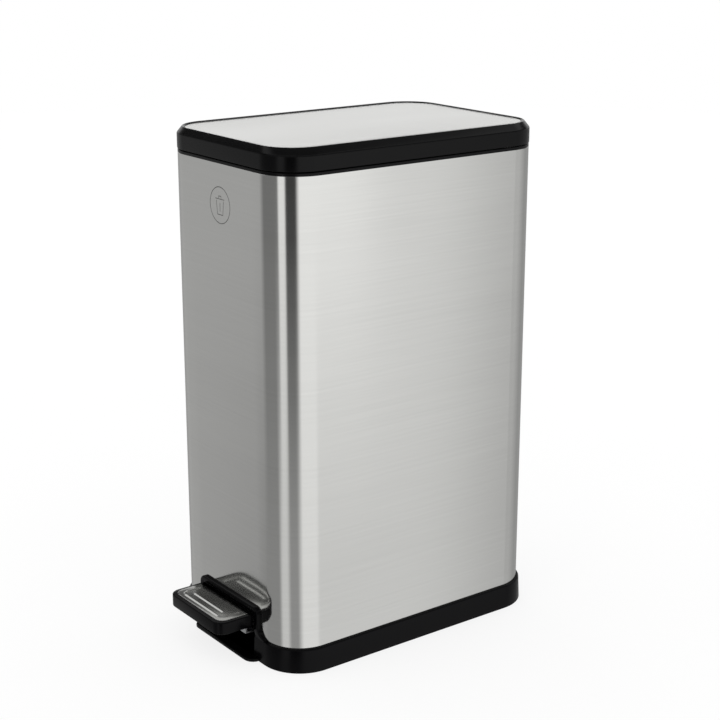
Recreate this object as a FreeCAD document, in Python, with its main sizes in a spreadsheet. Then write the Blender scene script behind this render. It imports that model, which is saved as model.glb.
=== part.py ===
"""Slim rectangular pedal trash can: steel shell, hinged lid, foot pedal and inner bucket.

Frame: the origin is on the floor under the middle of the steel shell, +Z is up, the pedal faces -Y
and the narrow side of the can lies along X. Sizes are millimetres and degrees.
"""
import FreeCAD, Part
import math
import os
import re
import Sketcher
from FreeCAD import Vector

# Driving dimensions: alias, value, what it is.
DIMENSIONS = [
    ("body_width", 268.0, "steel shell across the narrow side"),
    ("body_depth", 396.0, "steel shell from front to back"),
    ("body_corner", 50.0, "plan radius of the shell's corners"),
    ("total_height", 650.0, "floor to the crest of the lid"),
    ("lid_rise", 32.0, "crest of the lid above the shell's upper edge"),
    ("steel_wall", 0.8, "shell sheet thickness"),
    ("fit_gap", 0.1, "gap between pieces that slot together"),
    ("run_gap", 0.6, "gap between pieces that move past each other"),
    ("bore_gap", 0.05, "radial gap of a shaft in its bore"),
    ("shell_seat", 6.0, "height of the shell's lower edge"),
    ("lip_height", 31.7, "top of the base lip"),
    ("lip_proud", 3.5, "lip beyond the shell at its top"),
    ("base_proud", 5.0, "base beyond the shell at the floor"),
    ("base_floor", 3.0, "floor thickness of the base tray"),
    ("lip_inner", 3.0, "inner wall that backs the shell"),
    ("bezel_half", 68.0, "half width of the bezel round the pedal opening"),
    ("bezel_top", 70.0, "top of the bezel"),
    ("bezel_band", 8.0, "width of the bezel band"),
    ("bezel_proud", 4.5, "bezel face beyond the shell"),
    ("bezel_corner", 10.0, "corner radius of the bezel"),
    ("opening_corner", 4.0, "corner radius of the pedal opening"),
    ("sleeve_wall", 5.0, "wall of the bezel's sleeve through the shell"),
    ("sleeve_reach", 6.0, "sleeve beyond the inside of the shell"),
    ("tongue_overhang", 2.0, "floor tongue wider than the bezel, each side"),
    ("tongue_reach", 17.0, "tongue beyond the shell"),
    ("tongue_thick", 4.0, "tongue thickness"),
    ("tongue_corner", 12.0, "tongue corner radius"),
    ("pad_radius", 12.0, "anti-slip pad radius"),
    ("pad_thick", 2.0, "anti-slip pad thickness"),
    ("pad_inset", 42.0, "pad centre from the shell's sides"),
    ("deck_clear", 0.9, "deck above the lever where the lever is highest under it"),
    ("deck_thick", 3.0, "deck thickness"),
    ("deck_side_gap", 5.0, "deck to shell at the sides"),
    ("deck_front_gap", 10.0, "deck to shell at the front"),
    ("deck_back_gap", 33.0, "deck to shell at the back, where the push rod runs"),
    ("post_radius", 7.0, "deck screw post radius"),
    ("post_side", 39.0, "deck screw posts from the shell's sides"),
    ("post_front", 58.0, "front deck screw posts from the shell's front"),
    ("post_back", 68.0, "rear deck screw posts from the shell's back"),
    ("screw_shank", 3.5, "screw shank diameter"),
    ("screw_head", 7.0, "screw head diameter"),
    ("screw_head_tall", 2.2, "screw head height"),
    ("deck_screw_length", 14.0, "deck screw shank below the head"),
    ("collar_lip", 3.8, "collar strip above the shell"),
    ("collar_wall", 2.0, "collar skirt inside the shell"),
    ("collar_skirt", 26.0, "depth of the collar skirt"),
    ("collar_ring", 9.0, "width of the collar's top ring"),
    ("bridge_side", 24.0, "hinge bridges to each side of a tower's middle"),
    ("bridge_deep", 12.0, "hinge bridges from the back of the collar"),
    ("hinge_inset", 7.0, "hinge axis from the back of the shell"),
    ("hinge_rise", 19.0, "hinge axis above the shell's upper edge"),
    ("hinge_pin", 4.0, "hinge pin diameter"),
    ("hinge_boss", 4.2, "radius of the hinge eyes"),
    ("tower_x", 60.0, "hinge towers from the middle"),
    ("tower_wide", 9.0, "tower thickness along the hinge"),
    ("cheek_wide", 4.0, "bracket cheek thickness"),
    ("cheek_gap", 1.0, "cheek to tower"),
    ("cheek_deep", 17.0, "bracket cheek in front of the hinge axis"),
    ("bracket_deep", 12.0, "bracket plate from front to back"),
    ("bracket_plate", 1.5, "bracket plate thickness"),
    ("clip_radius", 3.6, "retaining clip radius"),
    ("clip_thick", 1.0, "retaining clip thickness"),
    ("lid_gap", 5.0, "lid's lower edge above the shell's upper edge"),
    ("lid_proud", 0.5, "lid band beyond the shell"),
    ("band_height", 18.5, "upright band round the lid"),
    ("crest_inset_x", 8.0, "crest inward of the band on the long sides"),
    ("crest_inset_y", 5.4, "crest inward of the band on the short sides"),
    ("lid_wall", 2.0, "lid band wall"),
    ("lid_roof", 5.0, "crest to the underside of the lid roof"),
    ("roof_margin_x", 12.0, "roof recess inward of the band, long sides"),
    ("roof_margin_y", 9.0, "roof recess inward of the band, short sides"),
    ("lid_back_lift", 2.0, "rear lower edge trimmed so that it swings clear"),
    ("back_trim", 9.0, "how far forward that trim starts from the back"),
    ("notch_above", 6.5, "hinge notch above the hinge axis"),
    ("rod_notch_half", 7.5, "half width of the lid's notch for the push rod"),
    ("rod_notch_tall", 9.0, "height of that notch"),
    ("plate_inset_x", 19.7, "steel plate inward of the shell, long sides"),
    ("plate_inset_y", 9.5, "steel plate inward of the shell, short sides"),
    ("plate_corner", 40.0, "steel plate corner radius"),
    ("plate_drop", 1.4, "steel plate below the crest"),
    ("plate_thick", 1.0, "steel plate thickness"),
    ("pan_thick", 2.0, "lid inner pan thickness"),
    ("pan_rise", 3.0, "pan above the lid's lower edge"),
    ("pan_back", 32.0, "pan stops this far from the back of the shell"),
    ("lid_post_side", 30.0, "lid screw posts from the shell's sides"),
    ("lid_post_end", 88.0, "lid screw posts from the shell's ends"),
    ("lid_post_radius", 4.0, "lid screw post radius"),
    ("lid_screw_length", 8.0, "lid screw shank"),
    ("bumper_radius", 3.0, "lid bumper radius"),
    ("bumper_inset", 5.5, "lid bumper from the shell's sides"),
    ("bumper_gap", 0.3, "bumper to the collar with the lid shut"),
    ("crank_radius", 14.5, "crank pin from the hinge axis, lid shut"),
    ("crank_angle", 40.0, "crank below level with the lid shut"),
    ("crank_thick", 5.0, "crank plate thickness"),
    ("crank_pin", 4.0, "crank pin diameter"),
    ("slot_gap", 1.0, "gap either side of the pin in the crank slot"),
    ("crank_rim", 3.4, "metal round the crank slot"),
    ("crank_heel", 10.0, "crank plate's heel below the hinge axis"),
    ("crank_heel_inset", 1.0, "that heel in front of the hinge axis"),
    ("rod_diameter", 5.0, "push rod diameter"),
    ("fork_wall", 2.4, "fork cheek thickness"),
    ("fork_half", 4.5, "fork cheek half depth"),
    ("fork_drop", 18.0, "fork floor below the crank pin"),
    ("fork_floor", 4.0, "fork floor thickness"),
    ("foot_gap", 0.5, "push rod foot above the lever"),
    ("foot_radius", 3.5, "push rod foot radius"),
    ("foot_tall", 3.0, "push rod foot thickness"),
    ("guide_half", 12.0, "half width of the rod guides"),
    ("guide_tall", 14.0, "rod guide height"),
    ("guide_low", 90.0, "underside of the lower rod guide"),
    ("guide_high_drop", 66.0, "underside of the upper guide below the shell's upper edge"),
    ("guide_reach", 6.0, "rod guide in front of the rod centre"),
    ("damper_x", 30.0, "damper beside the push rod"),
    ("damper_drop", 318.0, "damper cylinder underside below the shell's upper edge"),
    ("damper_tall", 110.0, "damper cylinder length"),
    ("damper_radius", 8.0, "damper cylinder radius"),
    ("damper_wall", 2.4, "damper cylinder wall"),
    ("damper_end", 6.0, "damper cylinder end thickness"),
    ("damper_rod", 4.0, "damper piston rod diameter"),
    ("piston_tall", 6.0, "piston height"),
    ("piston_rise", 20.0, "piston underside above the cylinder's with the lid shut"),
    ("clamp_tall", 14.0, "damper clamp height"),
    ("clamp_rise", 24.0, "damper clamp above the cylinder's underside"),
    ("arm_rise", 24.0, "damper arm above the cylinder"),
    ("arm_tall", 6.0, "damper arm thickness"),
    ("arm_half", 5.0, "damper arm half depth"),
    ("pivot_height", 20.3, "lever shaft axis above the floor"),
    ("shaft_diameter", 6.0, "lever shaft diameter"),
    ("shaft_clip_radius", 5.0, "lever shaft clip radius"),
    ("pivot_post_thick", 6.0, "pivot post thickness"),
    ("pivot_post_half", 8.0, "pivot post half depth"),
    ("lever_sheet", 2.0, "lever sheet thickness"),
    ("lever_half", 24.0, "half width of the lever's channel"),
    ("lever_side_gap", 4.0, "lever to the sides of the pedal opening"),
    ("lever_web", 4.0, "lever web above the shaft axis"),
    ("lever_slope", 3.0, "rise of the lever toward the pedal, degrees"),
    ("lever_end", 8.0, "lever beyond the push rod's centre"),
    ("lever_flange", 8.0, "lever side flange depth"),
    ("lever_eye", 7.0, "radius of the lever's shaft eyes"),
    ("lever_flange_inset", 68.0, "side flanges start this far behind the shell's front"),
    ("lever_neck_inset", 13.0, "lever starts to narrow this far behind the shell's front"),
    ("riser_reach", 14.0, "lever riser beyond the shell"),
    ("pedal_overhang", 5.0, "pedal wider than the lever, each side"),
    ("pedal_gap", 2.0, "pedal to the bezel face"),
    ("pedal_deep", 49.5, "pedal from its back to its front edge"),
    ("pedal_low", 45.0, "pedal underside"),
    ("pedal_top", 61.0, "top of the pedal's plastic"),
    ("pedal_corner", 14.0, "pedal outer corner radius"),
    ("pedal_wall", 3.0, "pedal wall"),
    ("pedal_hollow_corner", 7.0, "corner radius of the pedal's hollow"),
    ("pedal_roof", 3.5, "pedal roof"),
    ("pedal_screw_inset", 21.0, "pedal screws from the pedal's sides"),
    ("pedal_screw_y", 18.0, "pedal screws in front of the lever riser"),
    ("pedal_screw_length", 4.5, "pedal screw shank"),
    ("tread_margin", 3.0, "tread plate inward of the pedal's edge"),
    ("tread_thick", 1.0, "tread plate thickness"),
    ("ridge_tall", 1.0, "tread ridge height"),
    ("ridge_wide", 4.0, "tread ridge width"),
    ("ridge_side", 12.0, "outer ridge legs from the pedal's sides"),
    ("ridge_front", 7.0, "outer ridge from the tread's front edge"),
    ("ridge_back", 7.0, "outer ridge legs stop this far from the tread's back edge"),
    ("ridge_inner_side", 23.0, "inner ridge from the pedal's sides"),
    ("ridge_inner_front", 18.0, "inner ridge from the tread's front edge"),
    ("bucket_side_gap", 19.0, "bucket wall to the shell's sides at the rim"),
    ("bucket_back_gap", 30.0, "bucket wall to the back of the shell at the rim"),
    ("bucket_front_gap", 18.0, "bucket wall to the front of the shell at the rim"),
    ("bucket_draft", 15.0, "bucket narrower at its floor, each side"),
    ("bucket_corner", 42.0, "bucket corner radius at the rim"),
    ("bucket_floor_corner", 30.0, "bucket corner radius at the floor"),
    ("bucket_wall", 1.8, "bucket wall"),
    ("bucket_floor", 2.5, "bucket floor"),
    ("bucket_rim_below", 8.0, "bucket rim below the shell's upper edge"),
    ("bucket_flange", 6.0, "bucket rim flange width"),
    ("bucket_flange_thick", 3.0, "bucket rim flange thickness"),
    ("bucket_foot_inset", 30.0, "bucket foot ring inward of its floor"),
    ("bucket_foot_wide", 5.0, "bucket foot ring width"),
]
ALIASES = {alias for alias, size, meaning in DIMENSIONS}

# Places worked out from the driving dimensions.
SHELL_TOP = "(total_height - lid_rise)"
COLLAR_TOP = "(total_height - lid_rise + collar_lip)"
HALF_DEEP = "(body_depth / 2)"
INNER_BACK = "(body_depth / 2 - steel_wall)"
OPENING_HALF = "(bezel_half - bezel_band)"
OPENING_TOP = "(bezel_top - bezel_band)"
HINGE_Y = "(body_depth / 2 - hinge_inset)"
HINGE_Z = "(total_height - lid_rise + hinge_rise)"
PIN_BORE = "(hinge_pin / 2 + bore_gap)"
LID_LOW = "(total_height - lid_rise + lid_gap)"
BAND_TOP = "(total_height - lid_rise + lid_gap + band_height)"
ROOF_Z = "(total_height - lid_roof)"
LID_WIDE = "(body_width + 2 * lid_proud)"
LID_DEEP = "(body_depth + 2 * lid_proud)"
LID_CORNER = "(body_corner + lid_proud)"
PAN_LOW = "(total_height - lid_rise + lid_gap + pan_rise)"
PAN_TOP = "(total_height - lid_rise + lid_gap + pan_rise + pan_thick)"
CRANK_Y = "(body_depth / 2 - hinge_inset - crank_radius * cos(crank_angle))"
CRANK_Z = "(total_height - lid_rise + hinge_rise - crank_radius * sin(crank_angle))"
FORK_LOW = "(total_height - lid_rise + hinge_rise - crank_radius * sin(crank_angle) - fork_drop)"
GUIDE_HIGH = "(total_height - lid_rise - guide_high_drop)"
DAMPER_LOW = "(total_height - lid_rise - damper_drop)"
ARM_LOW = "(total_height - lid_rise - damper_drop + damper_tall + arm_rise)"
BUCKET_WIDE = "(body_width - 2 * bucket_side_gap)"
BUCKET_DEEP = "(body_depth - bucket_back_gap - bucket_front_gap)"
BUCKET_Y = "((bucket_front_gap - bucket_back_gap) / 2)"
BUCKET_TOP = "(total_height - lid_rise - bucket_rim_below)"
LEVER_FRONT_HALF = "(bezel_half - bezel_band - lever_side_gap)"
LEVER_BACK = "(body_depth / 2 - hinge_inset - crank_radius * cos(crank_angle) + lever_end)"
LEVER_TALL = "(lever_sheet / cos(lever_slope))"
DECK_REACH = "(body_depth / 2 - steel_wall - deck_front_gap)"
DECK_LOW = "(pivot_height + lever_web + tan(lever_slope) * %s + %s + deck_clear)" % (DECK_REACH, LEVER_TALL)
DECK_TOP = "(%s + deck_thick)" % DECK_LOW
BUCKET_LOW = "(%s + screw_head_tall + run_gap)" % DECK_TOP
PEDAL_HALF = "(bezel_half - bezel_band - lever_side_gap + pedal_overhang)"
PEDAL_BACK = "(0 - body_depth / 2 - bezel_proud - pedal_gap)"
PEDAL_FRONT = "(0 - body_depth / 2 - bezel_proud - pedal_gap - pedal_deep)"
TREAD_FRONT = "(0 - body_depth / 2 - bezel_proud - pedal_gap - pedal_deep + tread_margin)"
FLANGE_TOP = "(pedal_top - pedal_roof)"
RISER_Y = "(0 - body_depth / 2 - riser_reach)"

X_AXIS = FreeCAD.Rotation(Vector(0, 1, 0), 90)
Z_AXIS = FreeCAD.Rotation()
SIDES = ((-1, "left"), (1, "right"))

doc = FreeCAD.newDocument("PedalTrashCan")
sheet = doc.addObject("Spreadsheet::Sheet", "dims")
for row, (alias, size, meaning) in enumerate(DIMENSIONS, start=1):
    sheet.set("A%d" % row, str(size))
    sheet.set("B%d" % row, meaning)
    sheet.setAlias("A%d" % row, alias)
doc.recompute()

nodes = []


# Formulas and the sheet

def bind(formula):
    """Make a formula of alias names read the sheet."""
    return re.sub(r"[a-z_]+", lambda word: "dims." + word[0] if word[0] in ALIASES else word[0], formula)


def value(formula):
    """The number that a formula gives with the sheet as it is."""
    result = sheet.evalExpression(bind(formula))
    return float(getattr(result, "Value", result))


def tie(thing, name, formula):
    """Bind a property to a formula."""
    thing.setExpression(name, bind(formula))


def lever_under(y_formula):
    """Height of the lever web's underside at a place along the depth."""
    return "(pivot_height + lever_web - tan(lever_slope) * (%s))" % y_formula


# Sketches

def hold(sketch, kind, edge, point, formula):
    """Fix one coordinate of a sketch point to a formula."""
    index = sketch.addConstraint(Sketcher.Constraint(kind, -1, 1, edge, point, value(formula)))
    tie(sketch, "Constraints[%d]" % index, formula)


def draw_rounded(sketch, wide, deep, corner, x="0", y="0"):
    """A rounded rectangle round (x, y)."""
    half_wide, half_deep, radius = value(wide) / 2, value(deep) / 2, value(corner)
    centre = Vector(value(x), value(y), 0)
    first = sketch.GeometryCount
    arcs = []
    for turn, (right, up) in enumerate(((1, -1), (1, 1), (-1, 1), (-1, -1))):
        middle = centre + Vector(right * (half_wide - radius), up * (half_deep - radius), 0)
        start = math.radians(90 * turn - 90)
        circle = Part.Circle(middle, Vector(0, 0, 1), radius)
        arcs.append(Part.ArcOfCircle(circle, start, start + math.pi / 2))
    for arc in arcs:
        sketch.addGeometry(arc)
    for turn in range(4):
        sketch.addGeometry(Part.LineSegment(arcs[turn].EndPoint, arcs[(turn + 1) % 4].StartPoint))
    for turn in range(4):
        line = first + 4 + turn
        sketch.addConstraint(Sketcher.Constraint("Tangent", first + turn, 2, line, 1))
        sketch.addConstraint(Sketcher.Constraint("Tangent", line, 2, first + (turn + 1) % 4, 1))
        sketch.addConstraint(Sketcher.Constraint(("Vertical", "Horizontal")[turn % 2], line))
    for turn in range(1, 4):
        sketch.addConstraint(Sketcher.Constraint("Equal", first, first + turn))
    index = sketch.addConstraint(Sketcher.Constraint("Radius", first, radius))
    tie(sketch, "Constraints[%d]" % index, corner)
    hold(sketch, "DistanceX", first + 4, 1, "%s + (%s) / 2" % (x, wide))
    hold(sketch, "DistanceX", first + 6, 1, "%s - (%s) / 2" % (x, wide))
    hold(sketch, "DistanceY", first + 5, 1, "%s + (%s) / 2" % (y, deep))
    hold(sketch, "DistanceY", first + 7, 1, "%s - (%s) / 2" % (y, deep))


def draw_polygon(sketch, points):
    """A closed outline of straight edges through points given as pairs of formulas."""
    first = sketch.GeometryCount
    count = len(points)
    spots = [Vector(value(across), value(along), 0) for across, along in points]
    for index in range(count):
        sketch.addGeometry(Part.LineSegment(spots[index], spots[(index + 1) % count]))
    for index, (across, along) in enumerate(points):
        after = first + (index + 1) % count
        sketch.addConstraint(Sketcher.Constraint("Coincident", first + index, 2, after, 1))
        hold(sketch, "DistanceX", first + index, 1, across)
        hold(sketch, "DistanceY", first + index, 1, along)


def draw_block(sketch, left, right, low, high):
    """A plain rectangle between four formulas."""
    draw_polygon(sketch, [(left, low), (right, low), (right, high), (left, high)])


def draw_circle(sketch, x, y, radius):
    """A circle round (x, y)."""
    circle = Part.Circle(Vector(value(x), value(y), 0), Vector(0, 0, 1), value(radius))
    edge = sketch.addGeometry(circle)
    index = sketch.addConstraint(Sketcher.Constraint("Radius", edge, value(radius)))
    tie(sketch, "Constraints[%d]" % index, radius)
    hold(sketch, "DistanceX", edge, 3, x)
    hold(sketch, "DistanceY", edge, 3, y)


# Bodies and their features

def new_body(name):
    """A PartDesign body that is one sub-part."""
    body = doc.addObject("PartDesign::Body", name)
    body.Label = name
    nodes.append(body)
    return body


def new_sketch(body, role, offset):
    """A sketch on one of the body's own origin planes, moved along that plane's normal."""
    sketch = body.newObject("Sketcher::SketchObject", body.Name + "_sketch")
    plane = next(item for item in body.Origin.OriginFeatures if item.Role == role)
    sketch.AttachmentSupport = [(plane, "")]
    sketch.MapMode = "FlatFace"
    tie(sketch, "AttachmentOffset.Base.z", offset)
    return sketch


def flat(body, height):
    """A level sketch at a height."""
    return new_sketch(body, "XY_Plane", height)


def upright(body, y_formula):
    """A sketch that faces the front, X across and Z up, at a place along the depth."""
    return new_sketch(body, "XZ_Plane", "0 - (%s)" % y_formula)


def sideways(body, x_formula):
    """A sketch that faces the right side, Y across and Z up."""
    return new_sketch(body, "YZ_Plane", x_formula)


def pad(body, sketch, length, reverse=False):
    """Grow a sketch along its normal."""
    feature = body.newObject("PartDesign::Pad", body.Name + "_pad")
    feature.Profile = sketch
    feature.Reversed = reverse
    tie(feature, "Length", length)
    doc.recompute()
    return feature


def pocket(body, sketch, length, reverse=False):
    """Cut a sketch against its normal, and stop if it cuts nothing."""
    before = body.Shape.Volume
    feature = body.newObject("PartDesign::Pocket", body.Name + "_pocket")
    feature.Profile = sketch
    feature.Reversed = reverse
    tie(feature, "Length", length)
    doc.recompute()
    if body.Shape.Volume >= before - 1e-3:
        raise RuntimeError("%s cut nothing" % feature.Name)
    return feature


def loft(body, low_sketch, high_sketch, cut=False):
    """Join or cut a tapered solid between two sketches."""
    kind = "PartDesign::SubtractiveLoft" if cut else "PartDesign::AdditiveLoft"
    feature = body.newObject(kind, body.Name + "_loft")
    feature.Profile = low_sketch
    feature.Sections = [high_sketch]
    feature.Ruled = True
    doc.recompute()
    return feature


# Part primitives

def box(name, x_range, y_range, z_range):
    """A block between pairs of formulas."""
    block = doc.addObject("Part::Box", name)
    for side, axis, (low, high) in zip(("Length", "Width", "Height"), "xyz", (x_range, y_range, z_range)):
        tie(block, side, "(%s) - (%s)" % (high, low))
        tie(block, "Placement.Base." + axis, low)
    return block


def cylinder(name, radius, length, start, along=Z_AXIS):
    """A cylinder from a start point, along Z or X."""
    solid = doc.addObject("Part::Cylinder", name)
    solid.Placement.Rotation = along
    tie(solid, "Radius", radius)
    tie(solid, "Height", length)
    for axis, place in zip("xyz", start):
        tie(solid, "Placement.Base." + axis, place)
    return solid


def fuse(name, shapes):
    """One solid from several."""
    joined = doc.addObject("Part::MultiFuse", name)
    joined.Shapes = shapes
    joined.Refine = True
    return joined


def cut(name, base, tool):
    """The base without the tool."""
    result = doc.addObject("Part::Cut", name)
    result.Base = base
    result.Tool = tool
    return result


def group(name, shapes):
    """Several separate solids kept as one sub-part."""
    compound = doc.addObject("Part::Compound", name)
    compound.Links = shapes
    return compound


def keep(shape, name):
    """Name a finished sub-part."""
    shape.Label = name
    nodes.append(shape)
    return shape


def screw(name, x, y, head_low, length, downward):
    """A round-headed screw whose shank runs down or up from its head."""
    head = cylinder(name + "_head", "screw_head / 2", "screw_head_tall", (x, y, head_low))
    shank_low = "%s - %s" % (head_low, length) if downward else "%s + screw_head_tall" % head_low
    shank = cylinder(name + "_shank", "screw_shank / 2", length, (x, y, shank_low))
    return fuse(name, [head, shank])


# Base

def deck_posts():
    """Centres of the four posts that carry the deck."""
    for side in ("-1", "1"):
        x = "%s * (body_width / 2 - post_side)" % side
        yield x, "0 - body_depth / 2 + post_front"
        yield x, "body_depth / 2 - post_back"


def pad_spots():
    """Centres of the four anti-slip pads."""
    for side in ("-1", "1"):
        for end in ("-1", "1"):
            yield "%s * (body_width / 2 - pad_inset)" % side, "%s * (body_depth / 2 - pad_inset)" % end


def build_base():
    """The tray: flared lip, groove for the shell, bezel with its sleeve, tongue and posts."""
    body = new_body("base_tray")
    low = flat(body, "0")
    wide, deep = "body_width + 2 * base_proud", "body_depth + 2 * base_proud"
    draw_rounded(low, wide, deep, "body_corner + base_proud")
    high = flat(body, "lip_height")
    draw_rounded(high, "body_width + 2 * lip_proud", "body_depth + 2 * lip_proud", "body_corner + lip_proud")
    loft(body, low, high)
    inset = "(steel_wall + fit_gap + lip_inner)"
    hollow = flat(body, "lip_height")
    draw_rounded(hollow, "body_width - 2 * " + inset, "body_depth - 2 * " + inset, "body_corner - " + inset)
    pocket(body, hollow, "lip_height - base_floor")
    groove = flat(body, "lip_height")
    draw_rounded(groove, "body_width + 2 * fit_gap", "body_depth + 2 * fit_gap", "body_corner + fit_gap")
    inset = "(steel_wall + fit_gap)"
    draw_rounded(groove, "body_width - 2 * " + inset, "body_depth - 2 * " + inset, "body_corner - " + inset)
    pocket(body, groove, "lip_height - shell_seat")
    face_y = "0 - body_depth / 2 - fit_gap"
    bezel = upright(body, face_y)
    draw_rounded(bezel, "2 * bezel_half", "bezel_top", "bezel_corner", "0", "bezel_top / 2")
    pad(body, bezel, "bezel_proud - fit_gap")
    sleeve = upright(body, face_y)
    top = "(%s + sleeve_wall)" % OPENING_TOP
    draw_rounded(sleeve, "2 * (%s + sleeve_wall)" % OPENING_HALF, top, "bezel_corner", "0", top + " / 2")
    pad(body, sleeve, "fit_gap + steel_wall + sleeve_reach", reverse=True)
    tongue = flat(body, "0")
    deep = "(tongue_reach + 2 * tongue_corner)"
    middle = "0 - body_depth / 2 - tongue_reach + %s / 2" % deep
    draw_rounded(tongue, "2 * (bezel_half + tongue_overhang)", deep, "tongue_corner", "0", middle)
    pad(body, tongue, "tongue_thick")
    opening = upright(body, "0 - body_depth / 2 - base_proud")
    tall = "(%s - tongue_thick)" % OPENING_TOP
    draw_rounded(opening, "2 * " + OPENING_HALF, tall, "opening_corner", "0", "tongue_thick + %s / 2" % tall)
    pocket(body, opening, "base_proud + steel_wall + sleeve_reach")
    posts = flat(body, "base_floor")
    for x, y in deck_posts():
        draw_circle(posts, x, y, "post_radius")
    pad(body, posts, DECK_LOW + " - base_floor")
    pilots = flat(body, DECK_LOW)
    for x, y in deck_posts():
        draw_circle(pilots, x, y, "screw_shank / 2")
    pocket(body, pilots, "deck_screw_length")
    pivots = flat(body, "base_floor")
    inner, outer = "lever_half + run_gap", "lever_half + run_gap + pivot_post_thick"
    draw_block(pivots, inner, outer, "0 - pivot_post_half", "pivot_post_half")
    draw_block(pivots, "0 - (%s)" % outer, "0 - (%s)" % inner, "0 - pivot_post_half", "pivot_post_half")
    pad(body, pivots, "pivot_height + pivot_post_half - base_floor")
    bores = sideways(body, outer)
    draw_circle(bores, "0", "pivot_height", "shaft_diameter / 2 + bore_gap")
    pocket(body, bores, "2 * (%s)" % outer)
    recesses = flat(body, "0")
    for x, y in pad_spots():
        draw_circle(recesses, x, y, "pad_radius")
    pocket(body, recesses, "pad_thick", reverse=True)


def build_pads():
    """Four rubber pads let into the underside, flush with it."""
    spots = enumerate(pad_spots())
    discs = [cylinder("pad_%d" % index, "pad_radius", "pad_thick", (x, y, "0")) for index, (x, y) in spots]
    keep(group("pads", discs), "anti_slip_pads")


def build_shell():
    """The steel shell: a rounded tube with a notch for the bezel's sleeve."""
    body = new_body("body_shell")
    walls = flat(body, "shell_seat")
    draw_rounded(walls, "body_width", "body_depth", "body_corner")
    inner_corner = "body_corner - steel_wall"
    draw_rounded(walls, "body_width - 2 * steel_wall", "body_depth - 2 * steel_wall", inner_corner)
    pad(body, walls, SHELL_TOP + " - shell_seat")
    notch = upright(body, "0 - body_depth / 2 - steel_wall")
    half = "(%s + sleeve_wall + fit_gap)" % OPENING_HALF
    high = "%s + sleeve_wall + fit_gap" % OPENING_TOP
    draw_block(notch, "0 - " + half, half, "0", high)
    pocket(body, notch, "3 * steel_wall")


def build_deck():
    """The deck over the lever, screwed to the base posts."""
    body = new_body("bucket_deck")
    plate = flat(body, DECK_LOW)
    wide = "body_width - 2 * steel_wall - 2 * deck_side_gap"
    deep = "(body_depth - 2 * steel_wall - deck_front_gap - deck_back_gap)"
    shift = "(deck_front_gap - deck_back_gap) / 2"
    draw_rounded(plate, wide, deep, "body_corner - deck_side_gap", "0", shift)
    for x, y in deck_posts():
        draw_circle(plate, x, y, "screw_shank / 2 + bore_gap")
    pad(body, plate, "deck_thick")
    screws = [screw("deck_screw_%d" % index, x, y, DECK_TOP, "deck_screw_length", True)
              for index, (x, y) in enumerate(deck_posts())]
    keep(group("deck_screw_set", screws), "deck_screws")


def build_bucket():
    """The inner bucket: drafted walls, rim flange and a foot ring that stands on the deck."""
    body = new_body("inner_bucket")
    low = flat(body, BUCKET_LOW)
    floor_wide = "(%s - 2 * bucket_draft)" % BUCKET_WIDE
    floor_deep = "(%s - 2 * bucket_draft)" % BUCKET_DEEP
    draw_rounded(low, floor_wide, floor_deep, "bucket_floor_corner", "0", BUCKET_Y)
    high = flat(body, BUCKET_TOP)
    draw_rounded(high, BUCKET_WIDE, BUCKET_DEEP, "bucket_corner", "0", BUCKET_Y)
    loft(body, low, high)
    rim = flat(body, BUCKET_TOP)
    wide, deep = BUCKET_WIDE + " + 2 * bucket_flange", BUCKET_DEEP + " + 2 * bucket_flange"
    draw_rounded(rim, wide, deep, "bucket_corner + bucket_flange", "0", BUCKET_Y)
    pad(body, rim, "bucket_flange_thick", reverse=True)
    inner_low = flat(body, BUCKET_LOW + " + bucket_floor")
    wide, deep = floor_wide + " - 2 * bucket_wall", floor_deep + " - 2 * bucket_wall"
    draw_rounded(inner_low, wide, deep, "bucket_floor_corner - bucket_wall", "0", BUCKET_Y)
    inner_high = flat(body, BUCKET_TOP)
    wide, deep = BUCKET_WIDE + " - 2 * bucket_wall", BUCKET_DEEP + " - 2 * bucket_wall"
    draw_rounded(inner_high, wide, deep, "bucket_corner - bucket_wall", "0", BUCKET_Y)
    loft(body, inner_low, inner_high, cut=True)
    foot = flat(body, DECK_TOP)
    for inset in ("bucket_foot_inset", "(bucket_foot_inset + bucket_foot_wide)"):
        wide, deep = "%s - 2 * %s" % (floor_wide, inset), "%s - 2 * %s" % (floor_deep, inset)
        draw_rounded(foot, wide, deep, "bucket_floor_corner / 2", "0", BUCKET_Y)
    pad(body, foot, BUCKET_LOW + " - " + DECK_TOP)


# Collar and hinge

def tower_span(side):
    """Low and high X of one hinge tower."""
    return "%d * tower_x - tower_wide / 2" % side, "%d * tower_x + tower_wide / 2" % side


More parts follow.
